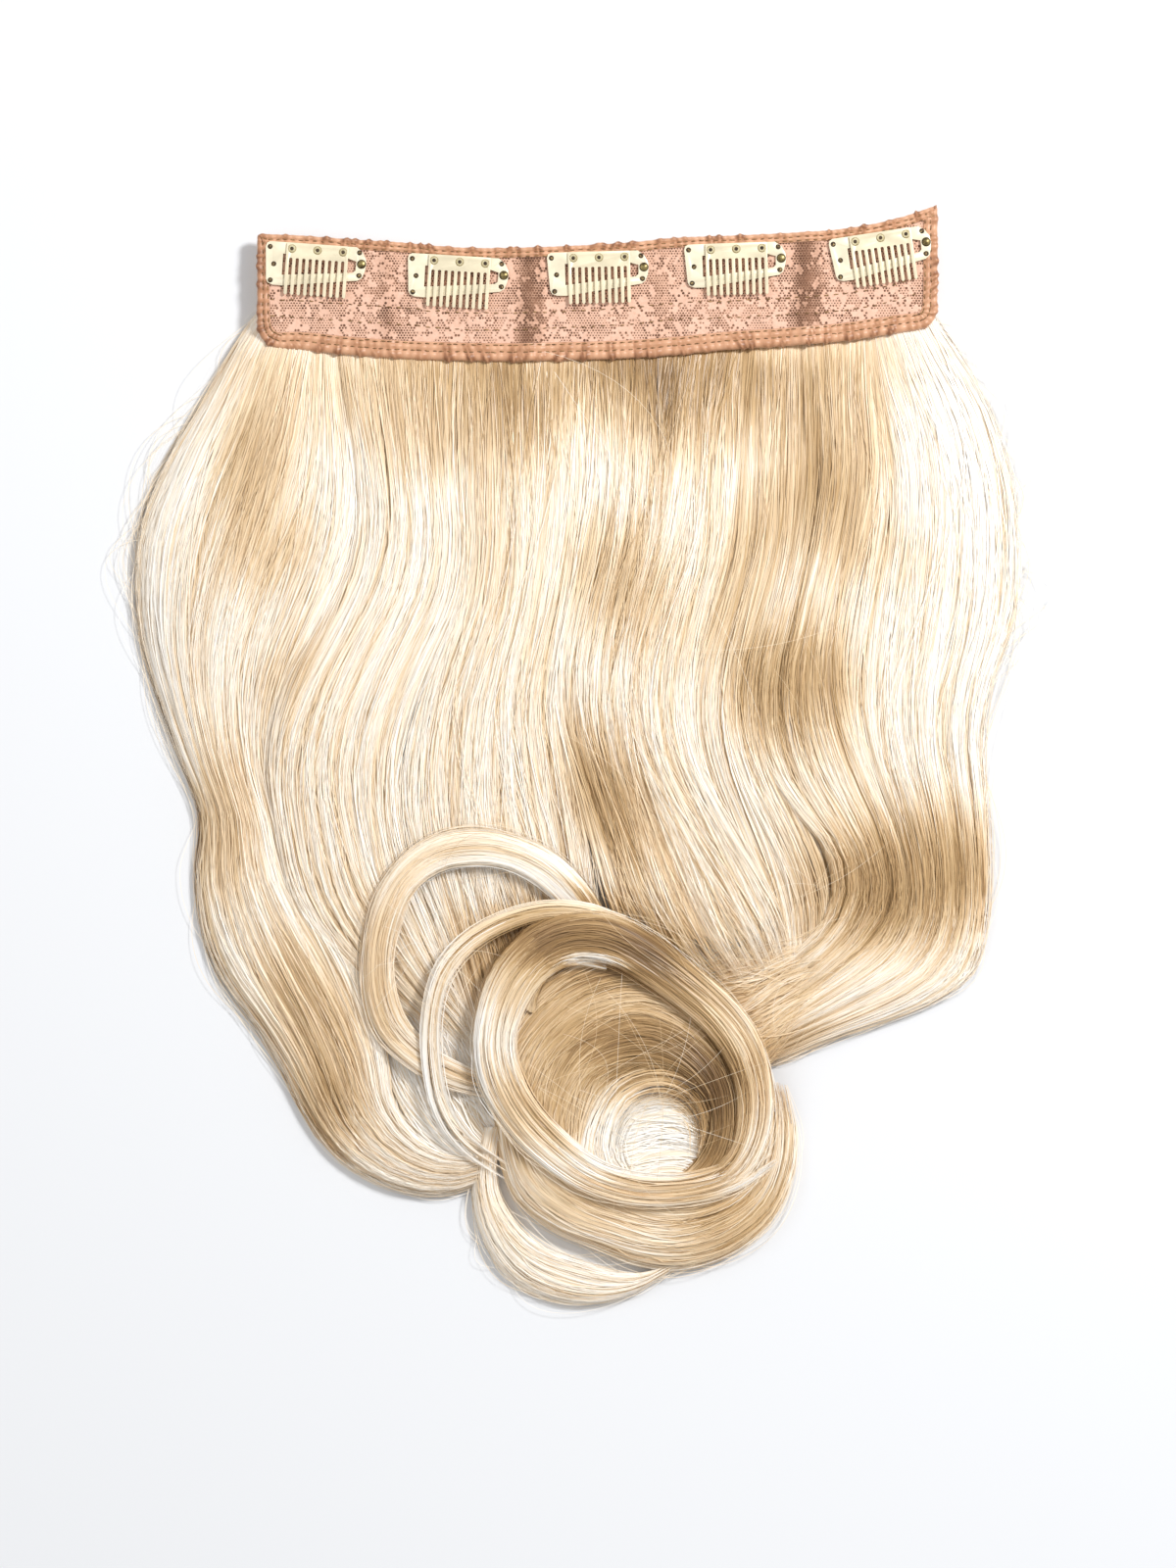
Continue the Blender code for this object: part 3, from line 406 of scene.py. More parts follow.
THIN_RING = [
    Row(640, 935, 632, 948, 0.0175),
    Row(600, 921, 596, 938, 0.0190),
    Row(555, 919, 558, 937, 0.0198),
    Row(510, 931, 518, 949, 0.0198),
    Row(470, 955, 484, 969, 0.0192),
    Row(443, 990, 459, 1000, 0.0182),
    Row(431, 1040, 449, 1042, 0.0168),
    Row(432, 1090, 450, 1088, 0.0148),
    Row(443, 1138, 460, 1130, 0.0124),
    Row(470, 1176, 483, 1162, 0.0104),
    Row(515, 1205, 520, 1188, 0.0092),
]
RING_ARCH = [
    Row(505, 1010, 545, 1035, 0.0160),
    Row(512, 975, 552, 1008, 0.0186),
    Row(538, 946, 568, 990, 0.0204),
    Row(575, 930, 590, 980, 0.0212),
    Row(620, 930, 622, 984, 0.0214),
    Row(665, 952, 654, 1002, 0.0210),
    Row(708, 985, 688, 1026, 0.0202),
    Row(748, 1020, 718, 1052, 0.0192),
    Row(776, 1060, 740, 1084, 0.0182),
    Row(788, 1108, 750, 1116, 0.0172),
    Row(786, 1152, 750, 1148, 0.0164),
    Row(768, 1192, 742, 1174, 0.0156),
    Row(738, 1216, 722, 1194, 0.0146),
    Row(700, 1226, 694, 1206, 0.0130),
]
RING_CRADLE = [
    Row(620, 990, 610, 950, 0.0176),
    Row(585, 985, 570, 935, 0.0196),
    Row(556, 1000, 532, 952, 0.0206),
    Row(536, 1030, 500, 990, 0.0204),
    Row(526, 1062, 484, 1045, 0.0196),
    Row(532, 1092, 486, 1092, 0.0186),
    Row(548, 1124, 506, 1136, 0.0178),
    Row(576, 1156, 540, 1176, 0.0172),
    Row(612, 1184, 590, 1212, 0.0166),
    Row(655, 1197, 645, 1229, 0.0162),
    Row(700, 1196, 702, 1228, 0.0156),
    Row(740, 1184, 752, 1214, 0.0146),
    Row(772, 1160, 796, 1186, 0.0130),
]
FUNNEL = [
    Row(508, 1150, 596, 1176, 0.0124),
    Row(500, 1100, 603, 1142, 0.0134),
    Row(520, 1045, 618, 1112, 0.0142),
    Row(570, 995, 644, 1098, 0.0146),
    Row(640, 975, 672, 1094, 0.0148),
    Row(710, 1005, 699, 1104, 0.0146),
    Row(758, 1060, 717, 1124, 0.0140),
    Row(772, 1125, 722, 1152, 0.0134),
    Row(760, 1188, 712, 1180, 0.0128),
    Row(716, 1222, 690, 1202, 0.0122),
    Row(656, 1228, 660, 1210, 0.0114),
    Row(604, 1212, 630, 1198, 0.0106),
]
LOWER_CURL = [
    Row(500, 1120, 560, 1110, 0.0110),
    Row(506, 1170, 568, 1150, 0.0110),
    Row(522, 1222, 590, 1186, 0.0108),
    Row(560, 1256, 622, 1208, 0.0106),
    Row(606, 1276, 656, 1218, 0.0104),
    Row(648, 1292, 692, 1222, 0.0102),
    Row(694, 1297, 726, 1216, 0.0102),
    Row(744, 1282, 752, 1204, 0.0104),
    Row(786, 1250, 768, 1184, 0.0106),
    Row(808, 1208, 776, 1158, 0.0104),
    Row(814, 1160, 776, 1130, 0.0098),
    Row(804, 1108, 774, 1098, 0.0090),
]
BOTTOM_CURL = [
    Row(492, 1150, 512, 1150, 0.0080),
    Row(482, 1195, 506, 1192, 0.0076),
    Row(482, 1232, 512, 1224, 0.0072),
    Row(494, 1272, 532, 1254, 0.0070),
    Row(518, 1305, 560, 1276, 0.0068),
    Row(556, 1326, 596, 1290, 0.0068),
    Row(600, 1332, 630, 1300, 0.0068),
    Row(645, 1322, 660, 1300, 0.0064),
    Row(690, 1296, 690, 1286, 0.0056),
]

VEIL = [
    Row(372, 1010, 450, 1000, 0.0066),
    Row(384, 1060, 490, 1036, 0.0066),
    Row(396, 1106, 512, 1070, 0.0064),
    Row(416, 1146, 522, 1104, 0.0062),
    Row(446, 1176, 528, 1136, 0.0060),
    Row(490, 1196, 534, 1166, 0.0056),
]
RING_FLOOR = [
    Row(572, 1130, 592, 1226, 0.0066),
    Row(606, 1102, 620, 1214, 0.0072),
    Row(640, 1086, 650, 1206, 0.0076),
    Row(676, 1080, 682, 1202, 0.0078),
    Row(712, 1088, 714, 1206, 0.0076),
    Row(744, 1108, 742, 1220, 0.0072),
    Row(770, 1140, 764, 1240, 0.0066),
]
HOLE_ARCS = [
    Row(606, 1224, 650, 1206, 0.0096),
    Row(586, 1184, 628, 1176, 0.0104),
    Row(594, 1136, 632, 1146, 0.0108),
    Row(624, 1092, 648, 1124, 0.0112),
    Row(674, 1076, 674, 1116, 0.0114),
    Row(722, 1094, 700, 1126, 0.0112),
    Row(744, 1138, 712, 1150, 0.0108),
    Row(738, 1186, 706, 1182, 0.0104),
]
TIP_FAN = [
    Row(905, 915, 930, 985, 0.0090),
    Row(870, 932, 886, 1018, 0.0094),
    Row(834, 944, 846, 1046, 0.0096),
    Row(800, 952, 812, 1068, 0.0094),
    Row(770, 960, 786, 1088, 0.0090),
    Row(738, 972, 756, 1100, 0.0082),
    Row(706, 984, 728, 1104, 0.0070),
]
WEFT_LEFT = [
    Row(268, 252, 604, 264, 0.0067),
    Row(266, 300, 604, 312, 0.0067),
    Row(276, 345, 604, 356, 0.0067),
]
WEFT_RIGHT = [
    Row(600, 264, 950, 228, 0.0067),
    Row(600, 312, 950, 286, 0.0067),
    Row(600, 356, 940, 336, 0.0067),
]

# Each lock: its strands, the share of the crown's height that its left and right edges keep,
# its rows, how far its strands' ends are spread (share of its length), how many wisps its
# grooves part it into, the step between a strand's stations (metres), how far its strands
# stray past its edges (share of its width), and how much darker (+) or paler (-) it is, painted
# shade and light on the lock as a whole, partly its own tone.
FALL_STEP = 0.0115
CURL_STEP = 0.0056
SWATHS = [
    Swath("left_outer", 1500, (0.10, 0.84), LEFT_OUTER, 0.16, 9, FALL_STEP, 0.03, 0.0),
    Swath("left_middle", 1150, (0.84, 0.90), LEFT_MIDDLE, 0.12, 8, FALL_STEP, 0.02, 0.0),
    Swath("middle", 1200, (0.90, 0.88), MIDDLE, 0.12, 8, FALL_STEP, 0.02, 0.0),
    Swath("right_inner", 640, (0.86, 0.80), RIGHT_INNER, 0.14, 5, FALL_STEP, 0.04, 0.03),
    Swath("right_swirl", 1200, (0.88, 0.88), RIGHT_SWIRL, 0.14, 8, FALL_STEP, 0.02, 0.0),
    Swath("right_middle", 800, (0.84, 0.88), RIGHT_MIDDLE, 0.12, 5, FALL_STEP, 0.03, 0.0),
    Swath("right_outer", 1350, (0.88, 0.26), RIGHT_OUTER, 0.14, 8, FALL_STEP, 0.04, -0.03),
    Swath("tip_fan", 420, (0.80, 0.40), TIP_FAN, 0.22, 6, CURL_STEP, 0.08, 0.10),
    Swath("veil", 260, (0.80, 0.80), VEIL, 0.16, 5, CURL_STEP, 0.12, -0.18),
    # Painted pale, as a stand-in for the lit floor that shows through the ring's hole
    Swath("ring_floor", 230, (0.90, 0.90), RING_FLOOR, 0.12, 4, CURL_STEP, 0.08, -0.86),
    Swath("hole_arcs", 120, (0.90, 0.90), HOLE_ARCS, 0.30, 4, CURL_STEP, 0.40, -0.20),
    Swath("upper_ring", 360, (0.84, 0.94), UPPER_RING, 0.25, 7, CURL_STEP, 0.20, -0.04),
    Swath("funnel", 800, (0.88, 0.58), FUNNEL, 0.14, 8, CURL_STEP, 0.07, 0.06),
    Swath("thin_ring", 120, (0.95, 0.95), THIN_RING, 0.14, 3, CURL_STEP, 0.15, -0.20),
    Swath("ring_arch", 640, (0.84, 0.84), RING_ARCH, 0.10, 5, CURL_STEP, 0.07, 0.0),
    Swath("ring_cradle", 580, (0.84, 0.84), RING_CRADLE, 0.12, 5, CURL_STEP, 0.07, -0.16),
    Swath("lower_curl", 580, (0.30, 0.80), LOWER_CURL, 0.14, 6, CURL_STEP, 0.05, 0.04),
    Swath("bottom_curl", 300, (0.30, 0.60), BOTTOM_CURL, 0.14, 4, CURL_STEP, 0.12, -0.08),
    Swath("weft_left", 150, (1.0, 1.0), WEFT_LEFT, 0.02, 6, FALL_STEP, 0.0, 0.20),
    Swath("weft_right", 150, (1.0, 1.0), WEFT_RIGHT, 0.02, 6, FALL_STEP, 0.0, 0.20),
]

# Soft zones of darker (+) or paler (-) fibre, painted shade and highlight where the waves turn
# away from or toward the light: centre and reach in pixels, the zone's turn in degrees, and how
# strong it is.
Zone = namedtuple("Zone", "x y reach_x reach_y turn strength")
PAINTED_LIGHT_ZONES = [
    # Painted shade along the roots under the band's lower edge, partly the roots' own tan
    Zone(610, 360, 330, 24, 0, 0.22),
    Zone(470, 408, 92, 70, -4, 0.56),
    Zone(560, 396, 60, 36, 4, 0.36),
    Zone(640, 392, 52, 62, 2, 0.34),
    Zone(716, 380, 94, 58, 6, 0.70),
    Zone(688, 452, 36, 44, 10, 0.26),
    Zone(852, 428, 54, 88, 10, 0.46),
    Zone(836, 524, 58, 48, 6, 0.34),
    Zone(905, 570, 52, 26, 10, 0.18),
    Zone(262, 470, 38, 66, 8, 0.48),
    Zone(270, 566, 46, 34, -20, 0.34),
    Zone(200, 475, 34, 34, 0, -0.06),
    Zone(300, 372, 80, 24, 0, 0.22),
    Zone(326, 410, 40, 30, 0, 0.20),
    Zone(490, 560, 40, 60, 0, 0.14),
    Zone(628, 596, 46, 56, 16, 0.36),
    Zone(690, 640, 46, 34, 14, 0.12),
    Zone(762, 570, 28, 80, 14, 0.28),
    Zone(622, 824, 34, 72, -24, 0.62),
    Zone(556, 930, 30, 26, -12, 0.16),
    Zone(690, 912, 46, 26, 34, 0.08),
    Zone(806, 694, 60, 56, 10, 0.62),
    Zone(930, 892, 98, 62, -10, 0.74),
    Zone(300, 680, 44, 24, -30, 0.18),
    Zone(228, 838, 32, 74, 0, 0.34),
    Zone(380, 950, 36, 40, 10, 0.16),
    Zone(318, 1040, 36, 80, -26, 0.40),
    Zone(322, 1136, 44, 40, -34, 0.46),
    Zone(400, 1020, 44, 36, 10, 0.16),
    Zone(480, 900, 50, 30, -10, -0.10),
    Zone(596, 964, 92, 32, 4, 1.06),
    Zone(690, 985, 56, 34, 34, 0.40),
    Zone(510, 985, 44, 44, 0, 0.36),
    Zone(620, 1040, 108, 50, 6, 0.34),
    Zone(670, 1086, 104, 40, 12, 0.60),
    Zone(726, 1140, 28, 66, 0, 0.86),
    Zone(548, 1136, 44, 44, -20, 0.52),
    Zone(666, 1218, 78, 16, 4, 0.40),
    Zone(580, 1232, 60, 22, 18, 0.22),
    Zone(748, 1254, 60, 28, -34, 0.34),
    Zone(806, 1010, 40, 26, -24, 0.22),
    Zone(800, 1066, 44, 18, -20, 0.32),
    Zone(975, 700, 50, 110, 6, -0.08),
    Zone(990, 480, 44, 110, -14, -0.08),
    # A painted highlight on the lower edge of the ring's dark arch
    Zone(606, 978, 34, 8, 4, -1.30),
]
BASE_TONE = 0.10
ZONE_EDGE = 5.5


def tone_at(x, y):
    """How dark the fibre is at a place in metres: its base tone with the zones' painted shade and
    highlight.
    """
    px = PICTURE_SIZE[0] / 2 + (x - VIEW_CENTRE[0]) / PIXEL
    py = PICTURE_SIZE[1] / 2 - (y - VIEW_CENTRE[1]) / PIXEL
    tone = np.full_like(px, BASE_TONE)
    for zone in PAINTED_LIGHT_ZONES:
        turn = math.radians(zone.turn)
        across = px - zone.x
        down = py - zone.y
        u = (across * math.cos(turn) + down * math.sin(turn)) / zone.reach_x
        v = (down * math.cos(turn) - across * math.sin(turn)) / zone.reach_y
        distance = np.sqrt(u * u + v * v)
        tone += zone.strength / (1 + np.exp((distance - 1) * ZONE_EDGE))
    return tone


def smooth(share, start, slope_in, end, slope_out):
    """A smooth curve from start to end, with its slope at each, at a share of the way."""
    square = share ** 2
    cube = share ** 3
    return (
        (2 * cube - 3 * square + 1) * start + (cube - 2 * square + share) * slope_in
        + (3 * square - 2 * cube) * end + (cube - square) * slope_out
    )


def smooth_table(rows, stations):
    """Even stations on smooth curves through the rows, by length along the lock's middle."""
    data = np.array([[
        *picture(row.left_x, row.left_y), *picture(row.right_x, row.right_y), row.height,
    ] for row in rows])
    count = len(data)
    padded = np.vstack([2 * data[0] - data[1], data, 2 * data[-1] - data[-2]])
    fine = []
    for k in range(count - 1):
        before, start, end, after = padded[k:k + 4]
        share = np.linspace(0, 1, CURVE_STEPS, endpoint=False)[:, None]
        fine.append(smooth(share, start, (end - before) / 2, end, (after - start) / 2))
    fine = np.vstack([*fine, data[-1:]])
    middle = (fine[:, 0:2] + fine[:, 2:4]) / 2
    steps = np.linalg.norm(np.diff(middle, axis=0), axis=1)
    along = np.concatenate([[0], np.cumsum(steps)])
    places = np.linspace(0, along[-1], stations)
    table = np.stack([np.interp(places, along, fine[:, c]) for c in range(5)], axis=1)
    return table, along[-1]


def crown(across, edges):
    """How high the crown is at a share of the lock's width, with each edge's own height."""
    left, right = edges
    low = left + (right - left) * across
    arch = np.sqrt(np.clip(1 - (2 * across - 1) ** 2, 0, 1))
    return low + (1 - low) * arch ** 0.9


def surface(table, along, across, edges):
    """Points on a lock's crown. along and across are shares, in arrays of one shape."""
    stations = np.linspace(0, 1, len(table))
    left_x, left_y, right_x, right_y, height = (
        np.interp(along, stations, table[:, c]) for c in range(5)
    )
    x = left_x + (right_x - left_x) * across
    y = left_y + (right_y - left_y) * across
    z = height * crown(np.clip(across, 0, 1), edges)
    return np.stack([x, y, z], axis=-1)


def mean_width(table):
    """A lock's mean width in metres."""
    return np.mean(np.linalg.norm(table[:, 0:2] - table[:, 2:4], axis=1))


def unit(directions):
    """Directions of length one."""
    return directions / np.maximum(np.linalg.norm(directions, axis=2, keepdims=True), 1e-9)


def mesh_of(name, points, quads):
    """A smooth mesh from arrays of points and of each quad's four corners."""
    mesh = bpy.data.meshes.new(name)
    mesh.vertices.add(len(points))
    mesh.vertices.foreach_set("co", points.astype(np.float32).ravel())
    mesh.loops.add(quads.size)
    mesh.loops.foreach_set("vertex_index", quads.astype(np.int32).ravel())
    mesh.polygons.add(len(quads))
    mesh.polygons.foreach_set("loop_start", np.arange(0, quads.size, 4, dtype=np.int32))
    mesh.polygons.foreach_set("use_smooth", np.full(len(quads), True))
    mesh.update(calc_edges=True)
    mesh.validate()
    return mesh


def add_piece(name, mesh, material, body="root"):
    """A finished piece in the scene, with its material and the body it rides."""
    piece = bpy.data.objects.new(name, mesh)
    bpy.context.scene.collection.objects.link(piece)
    mesh.materials.clear()
    mesh.materials.append(material)
    if body:
        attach(piece, body)
    return piece


def add_wall(piece, thickness):
    """Gives a sheet its thickness, on its lower side."""
    wall = piece.modifiers.new("wall", "SOLIDIFY")
    wall.thickness = thickness
    wall.offset = -1.0


def mesh_from(bm, name):
    """A mesh from a finished bmesh."""
    mesh = bpy.data.meshes.new(name)
    bm.to_mesh(mesh)
    bm.free()
    return mesh


def add_values(mesh, name, values):
    """Stores a value at each of a mesh's points, for its material."""
    stored = mesh.attributes.new(name, "FLOAT", "POINT")
    stored.data.foreach_set("value", values.astype(np.float32).ravel())


def wisp_grooves(swath, along, across, width):
    """The grooves between a lock's wisps: strands pushed out of them, how deep each strand
    lies in one, and the wisp that each strand belongs to."""
    count = swath.wisps - 1
    steps = np.arange(1, swath.wisps)
    places = (steps + random.uniform(-0.30, 0.30, count)) / swath.wisps
    depth = np.zeros_like(across)
    wisp = np.sum(across[:, :1] > places[None, :], axis=1)
    reach = GROOVE_REACH / width
    for place in places:
        rate = random.uniform(*GROOVE_RATES)
        phase = random.uniform(0, 2 * np.pi)
        strength = random.uniform(*GROOVE_STRENGTHS)
        opens = random.uniform(*GROOVE_OPENS)
        middle = place + GROOVE_SWAY * np.sin(2 * np.pi * rate * along + phase)
        grow = np.clip((along - opens) / 0.15, 0, 1) * strength
        gap = across - middle
        across = across + 1.3 * reach * np.sign(gap) * grow * np.exp(-(gap / (2.2 * reach)) ** 2)
        gap = across - middle
        depth = np.maximum(depth, grow * np.exp(-(gap / (1.7 * reach)) ** 2))
    return across, depth, wisp


def strand_paths(swath, table, length):
    """Each strand's middle points, side directions, half widths, tones and shades."""
    count = swath.strands
    stations = max(16, int(length / swath.step))
    width = mean_width(table)
    clumps = max(5, count // STRANDS_IN_CLUMP)
    clump = random.integers(0, clumps, count)
    clump_place = (np.arange(clumps) + random.uniform(0.1, 0.9, clumps)) / clumps
    random.shuffle(clump_place)
    own = random.uniform(0, 1, count)
    centre = 0.5 - 0.5 * np.cos(np.pi * clump_place[clump])
    free = 0.5 - 0.5 * np.cos(np.pi * own)

    start = random.uniform(0.0, 0.01, count)
    end = 1 - random.uniform(0, 1, count) ** 2.2 * swath.ends
    share = np.linspace(0, 1, stations)[None, :]
    along = start[:, None] + (end - start)[:, None] * share

    gather = GATHER_START + GATHER_GROWTH * along + GATHER_LOOSE * swath.loose
    gather = np.minimum(gather, GATHER_LIMIT)
    across = free[:, None] * (1 - gather) + centre[:, None] * gather
    phase = random.uniform(0, 2 * np.pi, clumps)[clump][:, None]
    rate = random.uniform(0.8, 1.9, clumps)[clump][:, None]
    across += CLUMP_SWAY * np.sin(2 * np.pi * rate * along + phase)
    wander = random.uniform(0, 2 * np.pi, (count, 1))
    across += STRAND_SWAY * np.sin(2 * np.pi * 2.4 * along + wander)
    across, depth, wisp = wisp_grooves(swath, along, across, width)
    stray = (random.uniform(0, 1, count) < STRAY_SHARE)[:, None]
    lean = random.normal(0, 1, (count, 1))
    across += stray * STRAY_REACH * lean * np.sin(2 * np.pi * 0.6 * along + wander)
    loose = swath.loose * random.normal(0, 0.5, (count, 1)) * np.sin(np.pi * along) ** 0.5
    across = np.clip(across + loose, -1.2 * swath.loose, 1 + 1.2 * swath.loose)

    points = surface(table, along, across, swath.edges)
    sunk = random.uniform(0, 1, (count, 1)) ** 1.6 * SINK
    lump = random.uniform(*LUMP, clumps)[clump][:, None]
    wave = WAVE * np.sin(2 * np.pi * rate * 1.3 * along + phase)
    settle = np.clip(along / 0.08, 0, 1)
    rise = (lump + wave + stray * STRAY_RISE) * settle - sunk - GROOVE_DEPTH * depth
    points[:, :, 2] = np.maximum(points[:, :, 2] + rise, LOWEST_STRAND)

    tangent = unit(np.gradient(points, axis=1))
    nudge = 0.01
    left = surface(table, along, np.clip(across - nudge, 0, 1 - 2 * nudge), swath.edges)
    right = surface(table, along, np.clip(across + nudge, 2 * nudge, 1), swath.edges)
    side = right - left
    side = unit(side - tangent * np.sum(side * tangent, axis=2, keepdims=True))
    up = np.cross(side, tangent)
    roll = random.uniform(-1, 1, (count, 1)) * ROLL
    roll = roll + random.uniform(-TWIST, TWIST, (count, 1)) * along
    turned = side * np.cos(roll)[:, :, None] + up * np.sin(roll)[:, :, None]

    wide = STRAND_WIDTH * random.uniform(*STRAND_WIDTHS, (count, 1)) * (1 - 0.45 * stray)
    taper = np.clip((1 - share) / TIP_TAPER, 0.12, 1)
    half = wide / 2 * taper

    shift = random.normal(0, WISP_SHIFT, swath.wisps)[wisp]
    shift = shift + random.normal(0, CLUMP_SHIFT, clumps)[clump]
    moved = shift[:, None] + random.normal(0, STRAND_SHIFT, (count, 1))
    tone = tone_at(
        points[:, :, 0] + tangent[:, :, 0] * moved, points[:, :, 1] + tangent[:, :, 1] * moved,
    )
    # Painted shade on the sunk strands and in the grooves, and the lock's tint of painted light
    tone += SUNK_SHADE * sunk + GROOVE_SHADE * depth + swath.tint
    own_spread, clump_spread = SHADE_SPREAD
    shade = random.normal(0, own_spread, (count, 1))
    shade = shade + random.normal(0, clump_spread, clumps)[clump][:, None]
    dark = random.uniform(0, 1, (count, 1)) < DARK_SHARE
    shade = shade + dark * DARK_SHADE - stray * 0.10
    return points, turned, half, tone, np.broadcast_to(shade, tone.shape)


def ribbons(name, paths, material):
    """Joined ribbons, one for each strand, with their tone and shade."""
    points, turned, half, tone, shade = paths
    count, stations, _ = points.shape
    offset = turned * half[:, :, None]
    pairs = np.stack([points - offset, points + offset], axis=2)
    base = (np.arange(count) * stations * 2)[:, None] + (np.arange(stations - 1) * 2)[None, :]
    quads = np.stack([base, base + 1, base + 3, base + 2], axis=-1).reshape(-1, 4)
    mesh = mesh_of(name, pairs.reshape(-1, 3), quads)
    add_values(mesh, "tone", np.repeat(tone[:, :, None], 2, axis=2))
    add_values(mesh, "shade", np.repeat(shade[:, :, None], 2, axis=2))
    add_piece(name, mesh, material)


def lock_body(swath, table, length, material):
    """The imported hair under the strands: a closed, crowned lock that tapers to its tip."""
    stations = max(12, int(length / BODY_STATION))
    columns = BODY_COLUMNS
    along = np.linspace(BODY_START, 1 - swath.ends * BODY_TAIL, stations)[:, None]
    turn = np.linspace(*BODY_SPAN, columns)[None, :]
    across = 0.5 - 0.5 * np.cos(np.pi * turn)
    along_grid, across_grid = np.broadcast_arrays(along, across)
    top = surface(table, along_grid, across_grid, swath.edges)
    ridge = BROAD_RIDGE * np.sin(across_grid * 39 + along_grid * 4)
    ridge = ridge + FINE_RIDGE * np.sin(across_grid * 83)
    fade = np.clip((1 - along_grid) / 0.15, 0.35, 1)
    depth = np.maximum(BODY_THINNEST, np.minimum(BODY_DEPTH, top[:, :, 2] * 0.9))
    top[:, :, 2] = np.maximum(top[:, :, 2] + (ridge - BODY_SINK) * fade, BODY_LOWEST)
    under = top.copy()
    under[:, :, 2] = np.maximum(top[:, :, 2] - depth, LOWEST_STRAND)
    rings = np.concatenate([top, under[:, ::-1]], axis=1)
    around = rings.shape[1]
    base = (np.arange(stations - 1) * around)[:, None]
    here = np.arange(around)[None, :]
    ahead = (here + 1) % around
    quads = np.stack([
        base + here, base + ahead, base + around + ahead, base + around + here,
    ], axis=-1).reshape(-1, 4)
    caps = []
    for row in (0, stations - 1):
        for k in range(columns - 1):
            first, second = row * around + k, row * around + k + 1
            third, fourth = row * around + around - 2 - k, row * around + around - 1 - k
            corners = [first, fourth, third, second]
            caps.append(corners if row == 0 else corners[::-1])
    mesh = mesh_of(swath.name, rings.reshape(-1, 3), np.vstack([quads, caps]))
    # The body is painted with the same shade and highlight zones as the strands
    add_values(mesh, "tone", tone_at(rings[:, :, 0], rings[:, :, 1]) + swath.tint)
    uv = mesh.uv_layers.new(name="UVMap")
    u = np.concatenate([across_grid, across_grid[:, ::-1]], axis=1)
    v = np.broadcast_to(along * length / STREAK_LENGTH, rings.shape[:2])
    flat = np.stack([u, v], axis=-1).reshape(-1, 2)
    index = np.zeros(len(mesh.loops), np.int32)
    mesh.loops.foreach_get("vertex_index", index)
    uv.data.foreach_set("uv", flat[index].astype(np.float32).ravel())
    bm = bmesh.new()
    bm.from_mesh(mesh)
    bmesh.ops.recalc_face_normals(bm, faces=bm.faces)
    bm.to_mesh(mesh)
    bm.free()
    return add_piece(f"hair_{swath.name}_body", mesh, material)


# Hairs that stand off the outline: the lock, the side they leave, where along it they spring
# from and rejoin (shares), how many there are and how far out they bow (metres).
FlyRow = namedtuple("FlyRow", "lock side first last count reach")
FLY_ROWS = [
    FlyRow("left_outer", 0, 0.02, 0.34, 26, 0.010),
    FlyRow("left_outer", 0, 0.20, 0.60, 22, 0.009),
    FlyRow("left_outer", 0, 0.55, 0.98, 18, 0.006),
    FlyRow("right_outer", 1, 0.02, 0.36, 26, 0.012),
    FlyRow("right_outer", 1, 0.25, 0.66, 22, 0.010),
    FlyRow("right_outer", 1, 0.60, 0.98, 16, 0.006),
    FlyRow("lower_curl", 0, 0.05, 0.90, 18, 0.007),
    FlyRow("bottom_curl", 0, 0.05, 0.98, 16, 0.006),
    FlyRow("ring_arch", 0, 0.10, 0.90, 14, 0.004),
    FlyRow("ring_cradle", 1, 0.10, 0.90, 12, 0.003),
    FlyRow("upper_ring", 0, 0.05, 0.95, 14, 0.003),
]
# Widths, stations along each hair, and tones with their spread
FLY_WIDTH = 0.00016
FLY_STATIONS = 30
FLY_START = 0.02
FLY_TONE = 0.22
FLY_TONE_SPREAD = 0.1
CROSS_WIDTH = 0.00009
CROSS_STATIONS = 16
CROSS_TONE = 0.34
CROSS_TONE_SPREAD = 0.16
LOOSE_RISE = 0.0012
LOWEST_LOOSE = 0.0004
UP = np.array([0.0, 0.0, 1.0])

# Loose hairs that cross the curls and the dark stretches: where they start and end in pixels,
# how far those places scatter, how far the hairs bow, their height (metres) and how many.
CrossRow = namedtuple("CrossRow", "x0 y0 x1 y1 scatter bow height count")
CROSS_ROWS = [
    CrossRow(560, 1010, 640, 1130, 70, 16, 0.0172, 7),
    CrossRow(580, 1100, 740, 1060, 70, -18, 0.0172, 8),
    CrossRow(610, 1170, 730, 1150, 60, 20, 0.0170, 8),
    CrossRow(590, 1120, 700, 1200, 60, -20, 0.0168, 7),
    CrossRow(400, 1000, 480, 930, 34, 26, 0.0186, 9),
    CrossRow(410, 950, 470, 1020, 34, -24, 0.0186, 8),
    CrossRow(440, 1040, 500, 960, 30, 22, 0.0196, 6),
    CrossRow(420, 880, 540, 860, 30, 26, 0.0190, 6),
    CrossRow(600, 920, 740, 1000, 34, 36, 0.0226, 10),
    CrossRow(620, 770, 720, 900, 60, 30, 0.0156, 5),
    CrossRow(760, 620, 850, 760, 70, -34, 0.0156, 4),
    CrossRow(780, 960, 860, 900, 40, 24, 0.0150, 6),
    CrossRow(720, 950, 800, 1010, 40, 26, 0.0160, 7),
    CrossRow(860, 970, 780, 1060, 40, -22, 0.0140, 7),
    CrossRow(600, 430, 690, 560, 70, 30, 0.0160, 4),
    CrossRow(310, 1060, 360, 1140, 30, 20, 0.0124, 5),
    CrossRow(520, 1230, 640, 1290, 34, -30, 0.0120, 5),
]


def joined(groups):
    """Groups of hairs as one, each value's arrays end to end."""
    return [np.concatenate([group[k] for group in groups]) for k in range(5)]


